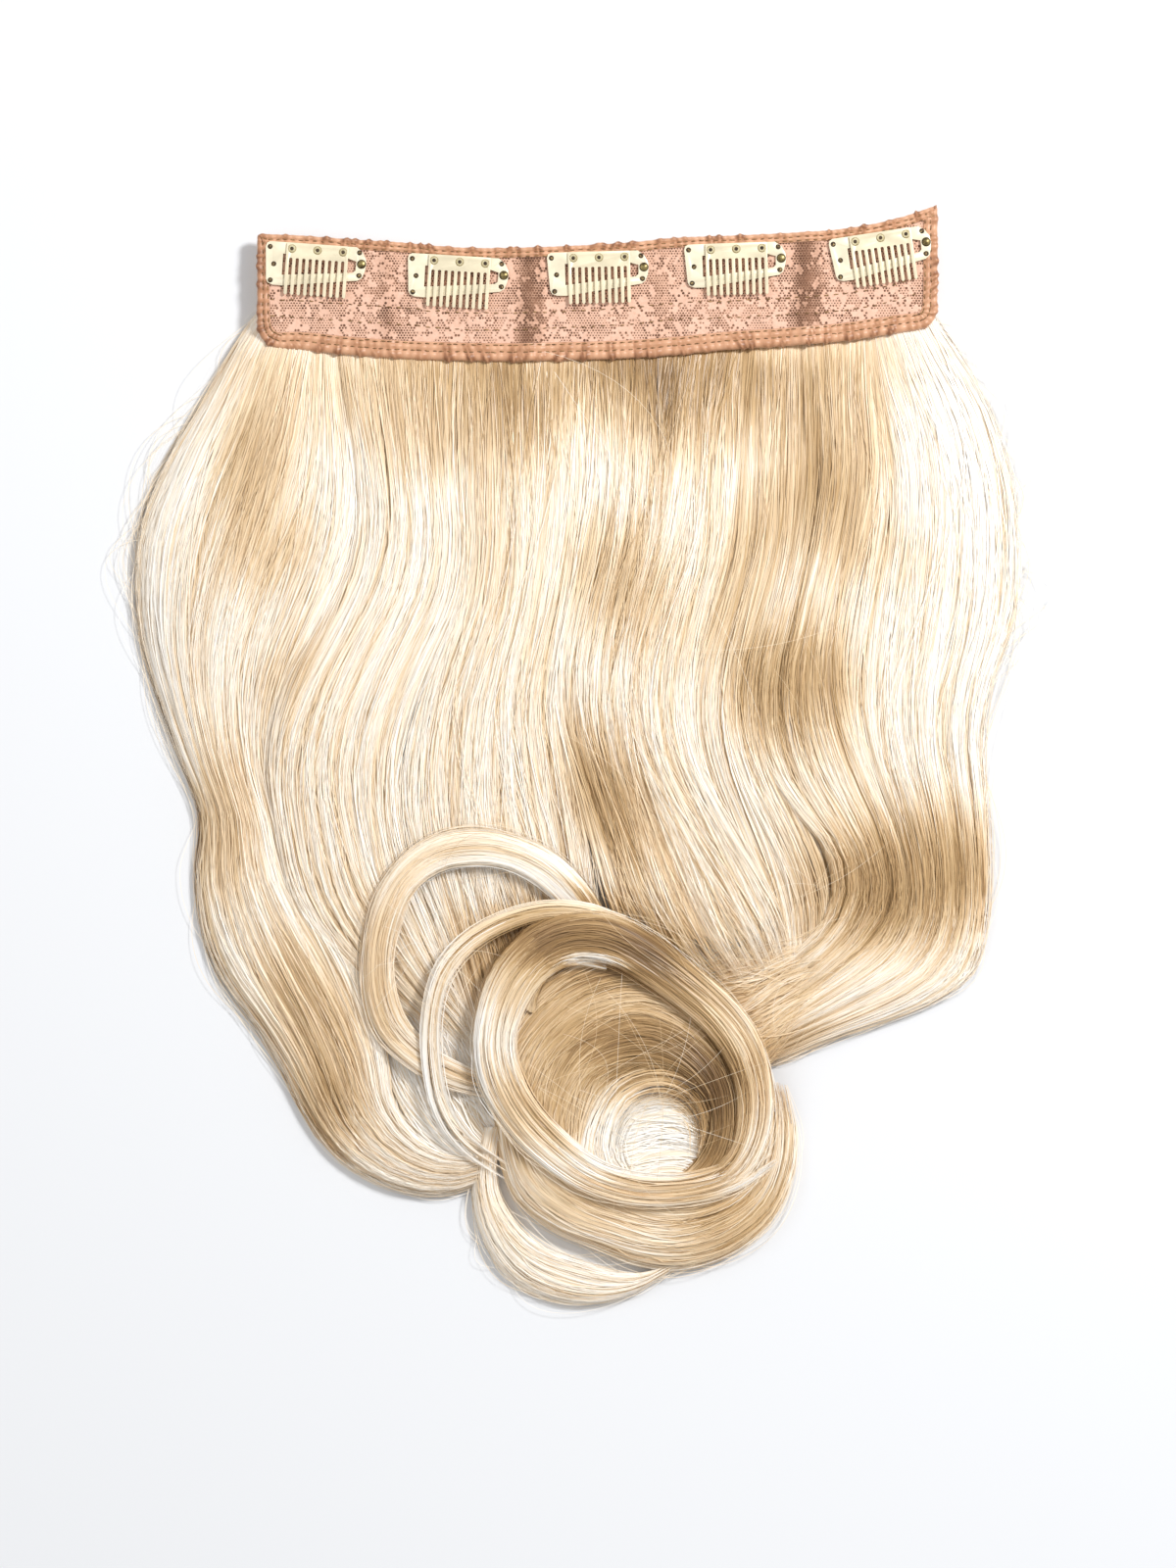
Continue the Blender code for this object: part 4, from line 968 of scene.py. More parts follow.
def fly_aways(tables, material):
    """Single hairs that bow out of the locks' edges and come back to them."""
    groups = []
    share = np.linspace(0, 1, FLY_STATIONS)[None, :]
    for row in FLY_ROWS:
        table, swath = tables[row.lock]
        first = random.uniform(row.first, row.last, (row.count, 1))
        reach = random.uniform(0.15, 0.55, (row.count, 1)) * (row.last - row.first)
        last = np.minimum(first + reach, 1.0)
        along = first + (last - first) * share
        bow = row.reach / mean_width(table) * random.uniform(0.1, 1.0, (row.count, 1)) ** 1.5
        skew = random.uniform(0.6, 1.6, (row.count, 1))
        out = bow * np.sin(np.pi * share ** skew) - FLY_START
        across = 1 + out if row.side else -out
        points = surface(table, along, across, swath.edges)
        points[:, :, 2] += LOOSE_RISE * np.sin(np.pi * share)
        points[:, :, 2] = np.maximum(points[:, :, 2], LOWEST_LOOSE)
        side = unit(np.cross(unit(np.gradient(points, axis=1)), UP))
        none = np.zeros((row.count, FLY_STATIONS))
        tone = none + FLY_TONE + random.normal(0, FLY_TONE_SPREAD, (row.count, 1))
        groups.append((points, side, none + FLY_WIDTH / 2, tone, none))
    ribbons("hair_fly_aways", joined(groups), material)


def cross_hairs(material):
    """Single hairs that lie over the curls and the fall."""
    groups = []
    share = np.linspace(0, 1, CROSS_STATIONS)[None, :]
    for row in CROSS_ROWS:
        ends = random.normal(0, row.scatter * 0.6, (4, row.count, 1))
        x0, y0, x1, y1 = row.x0 + ends[0], row.y0 + ends[1], row.x1 + ends[2], row.y1 + ends[3]
        bow = row.bow * random.uniform(-0.7, 1.8, (row.count, 1)) * 4 * share * (1 - share)
        long = np.hypot(x1 - x0, y1 - y0)
        px = x0 + (x1 - x0) * share + (y1 - y0) / long * bow
        py = y0 + (y1 - y0) * share - (x1 - x0) / long * bow
        x, y = picture(px, py)
        z = row.height + LOOSE_RISE * np.sin(np.pi * share)
        z = z + random.uniform(0, 0.0006, (row.count, 1))
        points = np.stack([x, y, z], axis=-1)
        side = unit(np.cross(np.gradient(points, axis=1), UP))
        none = np.zeros((row.count, CROSS_STATIONS))
        half = none + CROSS_WIDTH / 2 * np.clip((1 - share) / 0.2, 0.3, 1)
        tone = none + CROSS_TONE + random.normal(0, CROSS_TONE_SPREAD, (row.count, 1))
        groups.append((points, side, half, tone, none))
    ribbons("hair_crossing", joined(groups), material)


def hair():
    """All the locks, and the loose hairs over and beside them."""
    fibre = hair_material()
    packed = body_material()
    tables = {}
    for swath in SWATHS:
        table, length = smooth_table(swath.rows, TABLE_STATIONS)
        tables[swath.name] = (table, swath)
        if swath.loose < LOOSEST_BODY:
            lock_body(swath, table, length, packed)
        ribbons(f"hair_{swath.name}_strands", strand_paths(swath, table, length), fibre)
    fly_aways(tables, fibre)
    cross_hairs(fibre)
    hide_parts("hair")


# Band

# The band's top and bottom edge at a few places along it, in the picture's pixels.
BandRow = namedtuple("BandRow", "x top bottom")
BAND_ROWS = [
    BandRow(257, 237.9, 355.3),
    BandRow(299, 239.3, 356.5),
    BandRow(355, 243.4, 362.0),
    BandRow(411, 246.9, 366.0),
    BandRow(467, 251.9, 367.9),
    BandRow(523, 252.4, 368.6),
    BandRow(579, 250.4, 367.4),
    BandRow(635, 247.5, 365.9),
    BandRow(691, 242.0, 361.9),
    BandRow(747, 239.8, 356.5),
    BandRow(803, 237.2, 353.0),
    BandRow(859, 233.0, 348.1),
    BandRow(915, 222.4, 340.0),
    BandRow(957, 208.4, 333.0),
]
BAND_LEFT = 262
BAND_RIGHT = 957
LEFT_CORNER = 25
RIGHT_CORNER = 22

# The binding's width on each side, and its stitch rows as shares of that width
TOP_TAPE = 0.0038
LEFT_TAPE = 0.0046
RIGHT_TAPE = 0.0053
BOTTOM_TAPE = 0.0066
STITCH_ROWS = (0.50, 0.90)
STITCH_HEIGHT = 0.01078
TAPE_STATION = 0.00075
TAPE_THICK = 0.00035

# The base cloth: how far it stays inside the band's edge, its flat depth and its grid
PANEL_INSET = 0.0016
CLOTH_GRID = (44, 260)
RUFFLE = 0.00010

# Folds that cross the band: pixel along it, half width and rise in metres
FoldRow = namedtuple("FoldRow", "x reach rise")
BAND_FOLDS = [
    FoldRow(540, 0.0050, 0.0013),
    FoldRow(553, 0.0020, 0.0005),
    FoldRow(822, 0.0052, 0.0014),
    FoldRow(836, 0.0022, 0.0005),
    FoldRow(396, 0.0045, 0.0005),
    FoldRow(676, 0.0045, 0.0004),
]

# The two rows where the weft's stitches show through the lace, in pixels below the band's top
# edge, how many pixels short of the band's ends they stop, and their height over the cloth
WEFT_ROWS = (67, 84)
WEFT_ENDS = (16, 18)
WEFT_LIFT = 0.00040

STITCH_LENGTH = 0.0020
STITCH_GAP = 0.0008
STITCH_DRIFT = 0.00012
THREAD = 0.00052

# The lace: its net's cells, how far inside the band's edge it ends, the picture's rows that
# it lies between, and how high its flowers and its net lie over the base cloth
NET_CELL = 0.00106
LACE_MARGIN = 0.0034
LACE_LOW = 370
LACE_HIGH = 205
FLOWER_LIFT = 0.00030
NET_LIFT = 0.00018
YARN_ROUND = 0.00008

# The lace's holes, as shares of a cell: in a flower, at most, in the net and how that varies,
# along a flower's edge and in a flower's speck. Then where a flower closes its cells, how much
# thinner and wider the lace is in a fold, how much darker its yarn is painted there as the fold's
# shade, and its tints.
CLOSED = 0.03
WIDEST = 0.80
NET_HOLE = 0.50
NET_CLOUD = 0.16
NET_SPREAD = 0.08
EDGE_HOLE = 0.60
EDGE_SPREAD = 0.14
EDGE_REACH = 0.085
FILL_DEPTH = 0.05
FILL_GAP = 0.07
SPECK_HOLE = 0.45
SPECK_SHARE = 0.04
FOLD_THINS = 0.35
FOLD_OPENS = 0.24
FOLD_SHADE = 0.62
FLOWER_TINT = 0.40
NET_TINT = 0.24
EDGE_BROWN = 0.06
FOLD_GAIN = 700

# The lace's flowers: their pitch along the band, their rows below its top edge, how far they
# scatter, their size, their petals and leaves, and how uneven their edges are
MOTIF_PITCH = 0.0150
MOTIF_DROPS = (0.0100, 0.0235, 0.0345)
MOTIF_SCATTER = (0.0016, 0.0012)
MOTIF_SIZE = (0.0028, 0.0042)
PETALS = 5
LEAVES = 4
PATTERN_WOBBLE = 0.00035

# How many places are set against the band's edge at a time
NEAREST_BATCH = 2000


def band_edge(column, px):
    """A band edge's pixel height at a pixel along it, on a smooth curve."""
    places = np.array([row.x for row in BAND_ROWS], float)
    values = np.array([getattr(row, column) for row in BAND_ROWS], float)
    slopes = np.gradient(values, places)
    px = np.asarray(px, float)
    span = np.clip(np.searchsorted(places, px) - 1, 0, len(places) - 2)
    wide = places[span + 1] - places[span]
    share = np.clip((px - places[span]) / wide, 0, 1)
    return smooth(
        share, values[span], wide * slopes[span], values[span + 1], wide * slopes[span + 1],
    )


def fold_rise(x):
    """How far the folds lift the band at x, in metres."""
    rise = np.zeros_like(x)
    for fold in BAND_FOLDS:
        middle = picture(fold.x, 0)[0]
        rise += fold.rise * np.exp(-((x - middle) / fold.reach * 1.6) ** 2)
    return rise


def band_outline():
    """The band's outer edge, clockwise from the top left, at even steps, with the inward
    direction and the tape's width at each."""
    def arc(centre_x, centre_y, radius, first):
        """A quarter circle from an angle in degrees."""
        angles = np.radians(np.linspace(first, first + 90, 14))
        return centre_x + radius * np.cos(angles), centre_y + radius * np.sin(angles)

    top = np.linspace(BAND_LEFT, BAND_RIGHT, 160)
    low = np.linspace(BAND_RIGHT - RIGHT_CORNER, BAND_LEFT + LEFT_CORNER, 150)
    right_low = float(band_edge("bottom", BAND_RIGHT - RIGHT_CORNER)) - RIGHT_CORNER
    left_low = float(band_edge("bottom", BAND_LEFT + LEFT_CORNER)) - LEFT_CORNER
    right_top = float(band_edge("top", BAND_RIGHT))
    left_top = float(band_edge("top", BAND_LEFT))
    sides = np.linspace(0, 1, 26)[1:-1]
    right_arc = arc(BAND_RIGHT - RIGHT_CORNER, right_low, RIGHT_CORNER, 0)
    left_arc = arc(BAND_LEFT + LEFT_CORNER, left_low, LEFT_CORNER, 90)
    parts = [
        (top, band_edge("top", top), TOP_TAPE),
        (np.full(24, BAND_RIGHT), right_top + (right_low - right_top) * sides, RIGHT_TAPE),
        (*right_arc, (RIGHT_TAPE + BOTTOM_TAPE) / 2),
        (low[1:-1], band_edge("bottom", low[1:-1]), BOTTOM_TAPE),
        (*left_arc, (LEFT_TAPE + BOTTOM_TAPE) / 2),
        (np.full(24, BAND_LEFT), left_low + (left_top - left_low) * sides, LEFT_TAPE),
    ]
    px = np.concatenate([part[0] for part in parts])
    py = np.concatenate([part[1] for part in parts])
    wide = np.concatenate([np.full(len(part[0]), part[2]) for part in parts])
    x, y = picture(px, py)
    x, y, wide = (np.append(values, values[0]) for values in (x, y, wide))
    along = np.concatenate([[0], np.cumsum(np.hypot(np.diff(x), np.diff(y)))])
    count = int(along[-1] / TAPE_STATION)
    places = np.linspace(0, along[-1], count, endpoint=False)
    x, y, wide = (np.interp(places, along, values) for values in (x, y, wide))

    def soften(values, passes):
        """Rounds a closed row of values off."""
        for _ in range(passes):
            values = (np.roll(values, 1) + 2 * values + np.roll(values, -1)) / 4
        return values

    x, y, wide = soften(x, 4), soften(y, 4), soften(wide, 60)
    dx = (np.roll(x, -1) - np.roll(x, 1)) / 2
    dy = (np.roll(y, -1) - np.roll(y, 1)) / 2
    size = np.hypot(dx, dy)
    inward = np.stack([soften(dy / size, 8), soften(-dx / size, 8)], axis=1)
    inward /= np.linalg.norm(inward, axis=1, keepdims=True)
    return np.stack([x, y], axis=1), inward, wide, places


def gathers(places, total):
    """Pleats along the tape: how high each stands, and the fine puckers between them."""
    high = np.zeros_like(places)
    step = 0.0
    while step < total:
        step += random.uniform(*PLEAT_STEPS)
        reach = random.uniform(*PLEAT_REACHES)
        strength = random.uniform(*PLEAT_STRENGTHS)
        gap = np.abs(places - step)
        high += strength * np.exp(-(gap / reach) ** 2)
    turns = places / total * 2 * np.pi * PUCKERS
    fine = 0.5 + 0.5 * np.sin(turns + 2.6 * np.sin(places * 150))
    return high, fine


# The tape's section from its lower inner edge, round the outside, to its upper inner edge:
# how far inside the outline (share of its width), its height, and how much a pleat and a
# pucker lift it.
TapePoint = namedtuple("TapePoint", "inside height pleat pucker")
TAPE_SECTION = [
    TapePoint(1.00, 0.0071, 0.0, 0.0),
    TapePoint(0.55, 0.0070, 0.0, 0.0),
    TapePoint(0.14, 0.0071, 0.1, 0.0),
    TapePoint(0.03, 0.0076, 0.3, 0.2),
    TapePoint(0.00, 0.0086, 0.4, 0.3),
    TapePoint(0.01, 0.0096, 0.6, 0.4),
    TapePoint(0.06, 0.0103, 1.0, 0.6),
    TapePoint(0.15, 0.0107, 1.0, 0.9),
    TapePoint(0.27, 0.0108, 0.9, 1.0),
    TapePoint(0.39, 0.0107, 0.6, 0.9),
    TapePoint(0.50, 0.0104, 0.2, 0.2),
    TapePoint(0.60, 0.0107, 0.4, 0.7),
    TapePoint(0.70, 0.0108, 0.5, 0.9),
    TapePoint(0.80, 0.0107, 0.3, 0.7),
    TapePoint(0.90, 0.0104, 0.1, 0.2),
    TapePoint(0.98, 0.0106, 0.2, 0.4),
    TapePoint(1.02, 0.0103, 0.1, 0.2),
]

# How far pleats and puckers stand up, out and in, the steps between pleats, their reach along
# the tape and their strength, and how many puckers go round the band
PLEAT_RISE = 0.00085
PUCKER_RISE = 0.00048
PLEAT_OUT = 0.00085
PUCKER_IN = 0.00012
PLEAT_STEPS = (0.0016, 0.0110)
PLEAT_REACHES = (0.00045, 0.0013)
PLEAT_STRENGTHS = (0.20, 1.0)
PUCKERS = 190

# How dark the tape is painted: shade in a pleat's slope, along a seam's dip and in a pucker, and
# darker at its worn left end
SLOPE_SHADE = 2.0
SEAM_SHADE = 0.16
WORN_CREASE = 0.30
WORN_REACH = 0.0045
PUCKER_SHADE = 0.22


def tape_material():
    """Peach satin: a fine twill sheen, with painted shade in its pleats' slopes, seam dips and
    puckers, and darker at its worn left end.
    """
    made, tree, shader = new_material("peach_satin")
    cloud = noise(tree, 420.0, 5.0, 0.6)
    total = calculated(tree, "MULTIPLY_ADD", cloud, 0.30, mesh_value(tree, "crease_shade_and_wear"))
    colour_from(tree, shader, total, [
        (0.10, (0.740, 0.415, 0.250)),
        (0.50, (0.520, 0.255, 0.135)),
        (1.00, (0.270, 0.110, 0.048)),
    ], 0.42)
    shader.inputs["Sheen Weight"].default_value = 0.25
    shader.inputs["Sheen Roughness"].default_value = 0.4
    bump(tree, shader, cloud, 0.35, 0.00015)
    return made


def binding(outline, material):
    """The satin tape, gathered and wrapped over the band's edge."""
    edge, inward, wide, places = outline
    total = places[-1] + TAPE_STATION
    high, fine = gathers(places, total)
    columns = []
    shade_and_wear = []
    slant = 0.45 * np.sin(places * 61) + 0.35 * np.sin(places * 143 + 1.0)
    left_end = picture(BAND_LEFT, 0)[0]
    pleats = high
    for point in TAPE_SECTION:
        shifted = places + slant * wide * point.inside
        high = np.interp(shifted, places, pleats, period=total)
        outward = PLEAT_OUT * high * (1 - point.inside) - PUCKER_IN * fine
        inside = wide * point.inside - outward * (point.inside < 0.5)
        spot = edge + inward * inside[:, None]
        lift = PLEAT_RISE * high * point.pleat + PUCKER_RISE * fine * point.pucker
        z = point.height + lift + fold_rise(spot[:, 0])
        columns.append(np.column_stack([spot, z]))
        # Painted shade on the pleats' slopes, in the seam dips and between the puckers; the worn
        # left end is its own darker colour
        slope = SLOPE_SHADE * np.abs(np.gradient(high)) * (0.35 + point.pleat)
        seam = SEAM_SHADE * (point.height < 0.0105) * (point.inside > 0.4)
        worn = WORN_CREASE * np.exp(-((spot[:, 0] - left_end) / WORN_REACH) ** 2)
        shade_and_wear.append(slope + seam + worn + PUCKER_SHADE * (1 - fine) * point.pucker)
    points = np.stack(columns, axis=1)
    around, across = points.shape[:2]
    base = np.arange(around)[:, None] * across + np.arange(across - 1)[None, :]
    ahead = (np.arange(around)[:, None] + 1) % around * across + np.arange(across - 1)[None, :]
    quads = np.stack([base, base + 1, ahead + 1, ahead], axis=-1).reshape(-1, 4)
    mesh = mesh_of("binding", points.reshape(-1, 3), quads)
    add_values(mesh, "crease_shade_and_wear", np.clip(np.stack(shade_and_wear, axis=1), 0, 1))
    tape = add_piece("binding_tape", mesh, material)
    add_wall(tape, TAPE_THICK)
    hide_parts("binding")
    return tape


def cloth_material():
    """The tan base cloth seen through the lace."""
    made, tree, shader = new_material("tan_base_cloth")
    colour_from(tree, shader, noise(tree, 95.0, 6.0, 0.62), [
        (0.30, (0.085, 0.036, 0.020)),
        (0.52, (0.190, 0.088, 0.050)),
        (0.72, (0.380, 0.195, 0.120)),
    ], 0.9)
    place = node(tree, "ShaderNodeTexCoord")
    threads = []
    for direction in ("X", "Y"):
        wave = node(tree, "ShaderNodeTexWave", Scale=1500.0, bands_direction=direction)
        tree.links.new(place.outputs["Object"], wave.inputs["Vector"])
        threads.append(wave.outputs["Fac"])
    bump(tree, shader, calculated(tree, "MULTIPLY", *threads), 0.5, 0.0001)
    return made


def lace_material():
    """Pink lace yarn, paler on its flowers, browner in its net and along the flowers' edges, and
    darker in the folds, where their shade is painted.
    """
    made, tree, shader = new_material("pink_lace_yarn")
    cloud = noise(tree, 1100.0, 3.0, 0.7)
    total = calculated(tree, "MULTIPLY_ADD", cloud, 0.75, mesh_value(tree, "yarn_tint_and_fold_shade"))
    colour_from(tree, shader, total, [
        (0.00, (0.330, 0.165, 0.095)),
        (0.45, (0.690, 0.405, 0.280)),
        (0.85, (0.800, 0.510, 0.380)),
    ], 0.7)
    bump(tree, shader, cloud, 0.5, 0.0001)
    return made


def ruffle(x, y):
    """The small unevenness of the cloth where it is sewn."""
    return RUFFLE * (
        np.sin(x * 410 + 3 * np.sin(y * 230)) + np.sin(y * 520 + 2 * np.sin(x * 170))
    )


def on_cloth(x, y, lift):
    """The height of a place that lies over the base cloth's upper side by lift."""
    return CLOTH_TOP - CLOTH_THICK + fold_rise(x) + ruffle(x, y) + lift


def inside_band(x, y, outline, margin):
    """Whether places lie within the band's outline by a margin, in metres."""
    edge, inward, _, _ = outline
    result = np.zeros(len(x), bool)
    for start in range(0, len(x), NEAREST_BATCH):
        part = slice(start, start + NEAREST_BATCH)
        dx = x[part, None] - edge[None, :, 0]
        dy = y[part, None] - edge[None, :, 1]
        nearest = np.argmin(dx * dx + dy * dy, axis=1)
        row = np.arange(len(nearest))
        depth = dx[row, nearest] * inward[nearest, 0] + dy[row, nearest] * inward[nearest, 1]
        result[part] = depth > margin
    return result


def base_cloth(material):
    """The base cloth, one sheet that reaches under the binding on every side."""
    rows, columns = CLOTH_GRID
    px = np.linspace(BAND_LEFT, BAND_RIGHT, columns)
    top = band_edge("top", px)
    bottom = band_edge("bottom", px)
    left = np.clip((BAND_LEFT + LEFT_CORNER - px) / LEFT_CORNER, 0, 1)
    right = np.clip((px - BAND_RIGHT + RIGHT_CORNER) / RIGHT_CORNER, 0, 1)
    bottom -= LEFT_CORNER * (1 - np.sqrt(1 - left ** 2))
    bottom -= RIGHT_CORNER * (1 - np.sqrt(1 - right ** 2))
    share = np.linspace(0, 1, rows)[:, None]
    inset = PANEL_INSET / PIXEL
    narrowed = np.linspace(BAND_LEFT + inset, BAND_RIGHT - inset, columns)
    grid_x = np.broadcast_to(narrowed, (rows, columns))
    grid_y = top + inset + (bottom - top - 2 * inset) * share
    x, y = picture(grid_x, grid_y)
    points = np.stack([x, y, on_cloth(x, y, 0.0)], axis=-1).reshape(-1, 3)
    base = np.arange(rows - 1)[:, None] * columns + np.arange(columns - 1)[None, :]
    quads = np.stack([base, base + columns, base + columns + 1, base + 1], axis=-1).reshape(-1, 4)
    cloth = add_piece("base_cloth", mesh_of("base_cloth", points, quads), material)
    add_wall(cloth, CLOTH_THICK)
    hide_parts("lace_panel")
    return cloth


# A petal of the lace's pattern: its middle, half length and half width in metres, and heading.
Petal = namedtuple("Petal", "x y long wide heading")


def lace_pattern():
    """Flowers of five petals with leaves round them, scattered over the lace in three
    staggered rows."""
    petals = []

    def add(x, y, reach, heading, long, wide, lean=0.0):
        """Adds a petal that lies off a flower's middle, along a heading."""
        middle_x = x + math.cos(heading) * reach
        middle_y = y + math.sin(heading) * reach
        petals.append(Petal(middle_x, middle_y, long, wide, heading + lean))

    left = picture(BAND_LEFT, 0)[0]
    count = int((BAND_RIGHT - BAND_LEFT) * PIXEL / MOTIF_PITCH) + 2
    for column in range(count):
        for row, drop in enumerate(MOTIF_DROPS):
            across, down = MOTIF_SCATTER
            x = left + (column + 0.5 * row) * MOTIF_PITCH + random.normal(0, across)
            top = picture(0, float(band_edge("top", BAND_LEFT + (x - left) / PIXEL)))[1]
            y = top - drop + random.normal(0, down)
            spin = random.uniform(0, 2 * math.pi)
            size = random.uniform(*MOTIF_SIZE)
            for k in range(PETALS):
                heading = spin + k * 2 * math.pi / PETALS
                add(x, y, size * 0.80, heading, size * 0.72, size * 0.46)
            for k in range(LEAVES):
                heading = spin + (k + random.uniform(0.2, 0.8)) * 2 * math.pi / LEAVES
                reach = size * random.uniform(1.8, 2.5)
                long = size * random.uniform(0.6, 1.0)
                wide = size * random.uniform(0.22, 0.40)
                add(x, y, reach, heading, long, wide, random.uniform(-1.2, 1.2))
    return petals


def pattern_depth(x, y, petals):
    """How far inside a petal each place lies: 1 at its middle, 0 on its edge, less outside;
    and how near it lies to any petal's edge."""
    depth = np.full(len(x), -1.0)
    gap = np.full(len(x), 1.0)
    x = x + PATTERN_WOBBLE * np.sin(y * 2900 + 2 * np.sin(x * 1300))
    y = y + PATTERN_WOBBLE * np.sin(x * 2500 + 2 * np.sin(y * 1700))
    for petal in petals:
        dx, dy = x - petal.x, y - petal.y
        u = (dx * math.cos(petal.heading) + dy * math.sin(petal.heading)) / petal.long
        v = (dy * math.cos(petal.heading) - dx * math.sin(petal.heading)) / petal.wide
        inside = 1 - np.sqrt(u * u + v * v)
        depth = np.maximum(depth, inside)
        gap = np.minimum(gap, np.abs(inside))
    return depth, gap


def lace(outline, material):
    """The lace over the base cloth: a net of six-sided cells, their holes closed in the
    pattern's flowers and widest along its edges."""
    petals = lace_pattern()
    low = picture(0, LACE_LOW)[1]
    high = picture(0, LACE_HIGH)[1]
    start = picture(BAND_LEFT, 0)[0]
    end = picture(BAND_RIGHT, 0)[0]
    row_pitch = NET_CELL * math.sqrt(3) / 2
    rows = int((high - low) / row_pitch)
    columns = int((end - start) / NET_CELL)
    grid_y, grid_x = np.meshgrid(np.arange(rows), np.arange(columns), indexing="ij")
    x = (start + (grid_x + 0.5 * (grid_y % 2)) * NET_CELL).ravel()
    y = (low + grid_y * row_pitch).ravel()
    kept = inside_band(x, y, outline, LACE_MARGIN)
    x, y = x[kept], y[kept]
    depth, gap = pattern_depth(x, y, petals)
    cloudy = np.sin(x * 310 + 2 * np.sin(y * 240)) * np.sin(y * 350 + 2 * np.sin(x * 190))
    hole = NET_HOLE + NET_CLOUD * cloudy + random.normal(0, NET_SPREAD, len(x))
    near = gap < EDGE_REACH
    hole = np.where(near, EDGE_HOLE + random.normal(0, EDGE_SPREAD, len(x)), hole)
    folded = np.zeros(len(x))
    for fold in BAND_FOLDS:
        middle = picture(fold.x, 0)[0]
        folded += FOLD_GAIN * fold.rise * np.exp(-((x - middle) / fold.reach * 1.2) ** 2)
    folded = np.clip(folded, 0, 1)
    hole = hole + FOLD_OPENS * folded
    filled = (depth - FOLD_THINS * folded > FILL_DEPTH) & (gap > FILL_GAP)
    speck = random.uniform(0, 1, len(x)) < SPECK_SHARE
    hole = np.where(filled, np.where(speck, SPECK_HOLE, CLOSED), hole)
    hole = np.clip(hole, CLOSED, WIDEST)
    lift = np.where(filled, FLOWER_LIFT, NET_LIFT) + random.normal(0, 0.00001, len(x))

    radius = NET_CELL / math.sqrt(3)
    turns = np.radians(60 * np.arange(6) + 30)
    twist = random.normal(0, 0.16, (len(x), 1))
    outer_x = x[:, None] + radius * np.cos(turns)[None, :]
    outer_y = y[:, None] + radius * np.sin(turns)[None, :]
    inner = radius * hole[:, None]
    inner_x = x[:, None] + inner * np.cos(turns[None, :] + twist)
    inner_y = y[:, None] + inner * np.sin(turns[None, :] + twist)
    outer = np.stack([outer_x, outer_y, on_cloth(outer_x, outer_y, lift[:, None])], axis=-1)
    drop = lift[:, None] - YARN_ROUND * (hole[:, None] > 0.1)
    inner = np.stack([inner_x, inner_y, on_cloth(inner_x, inner_y, drop)], axis=-1)
    points = np.concatenate([outer, inner], axis=1).reshape(-1, 3)
    base = (np.arange(len(x)) * 12)[:, None]
    here = np.arange(6)[None, :]
    ahead = (here + 1) % 6
    quads = np.stack([base + here, base + ahead, base + 6 + ahead, base + 6 + here], axis=-1)
    mesh = mesh_of("lace", points, quads.reshape(-1, 4))
    tint = np.where(filled, FLOWER_TINT, NET_TINT) + random.normal(0, 0.05, len(x))
    # The yarn is painted darker in the folds, as their shade
    tint = tint - EDGE_BROWN * near - FOLD_SHADE * folded
    add_values(mesh, "yarn_tint_and_fold_shade", np.repeat(tint, 12))
    return add_piece("lace_net", mesh, material)


SEAM_COLOURS = ((0.110, 0.052, 0.018), (0.260, 0.140, 0.050), (0.460, 0.290, 0.120))
KNOT_COLOURS = ((0.090, 0.055, 0.022), (0.280, 0.185, 0.070), (0.560, 0.420, 0.180))


def thread_material(name, colours):
    """Sewing thread, uneven in its browns."""
    made, tree, shader = new_material(name)
    stops = list(zip((0.30, 0.55, 0.75), colours))
    colour_from(tree, shader, noise(tree, 900.0, 2.0), stops, 0.5)
    return made


def stitch_shape():
    """One stitch, a small bead stretched along X, as arrays of points and triangles."""
    bm = bmesh.new()
    bmesh.ops.create_uvsphere(bm, u_segments=6, v_segments=4, radius=1.0)
    bmesh.ops.triangulate(bm, faces=bm.faces)
    bm.verts.ensure_lookup_table()
    points = np.array([vert.co for vert in bm.verts])
    faces = np.array([[vert.index for vert in face.verts] for face in bm.faces])
    bm.free()
    return points, faces


def sew(name, middles, headings, lengths, thick, material):
    """Many stitches joined in one mesh, each at its middle, along its heading."""
    shape, faces = stitch_shape()
    count = len(middles)
    half = np.stack([lengths / 2, np.full(count, thick / 2), np.full(count, thick / 2)], axis=1)
    local = shape[None, :, :] * half[:, None, :]
    cos = np.cos(headings)[:, None]
    sin = np.sin(headings)[:, None]
    x = local[:, :, 0] * cos - local[:, :, 1] * sin + middles[:, None, 0]
    y = local[:, :, 0] * sin + local[:, :, 1] * cos + middles[:, None, 1]
    z = local[:, :, 2] + middles[:, None, 2]
    points = np.stack([x, y, z], axis=-1).reshape(-1, 3)
    triangles = (faces[None] + (np.arange(count) * len(shape))[:, None, None]).reshape(-1, 3)
    mesh = bpy.data.meshes.new(name)
    mesh.from_pydata(points.tolist(), [], triangles.tolist())
    mesh.polygons.foreach_set("use_smooth", np.full(len(mesh.polygons), True))
    return add_piece(name, mesh, material)


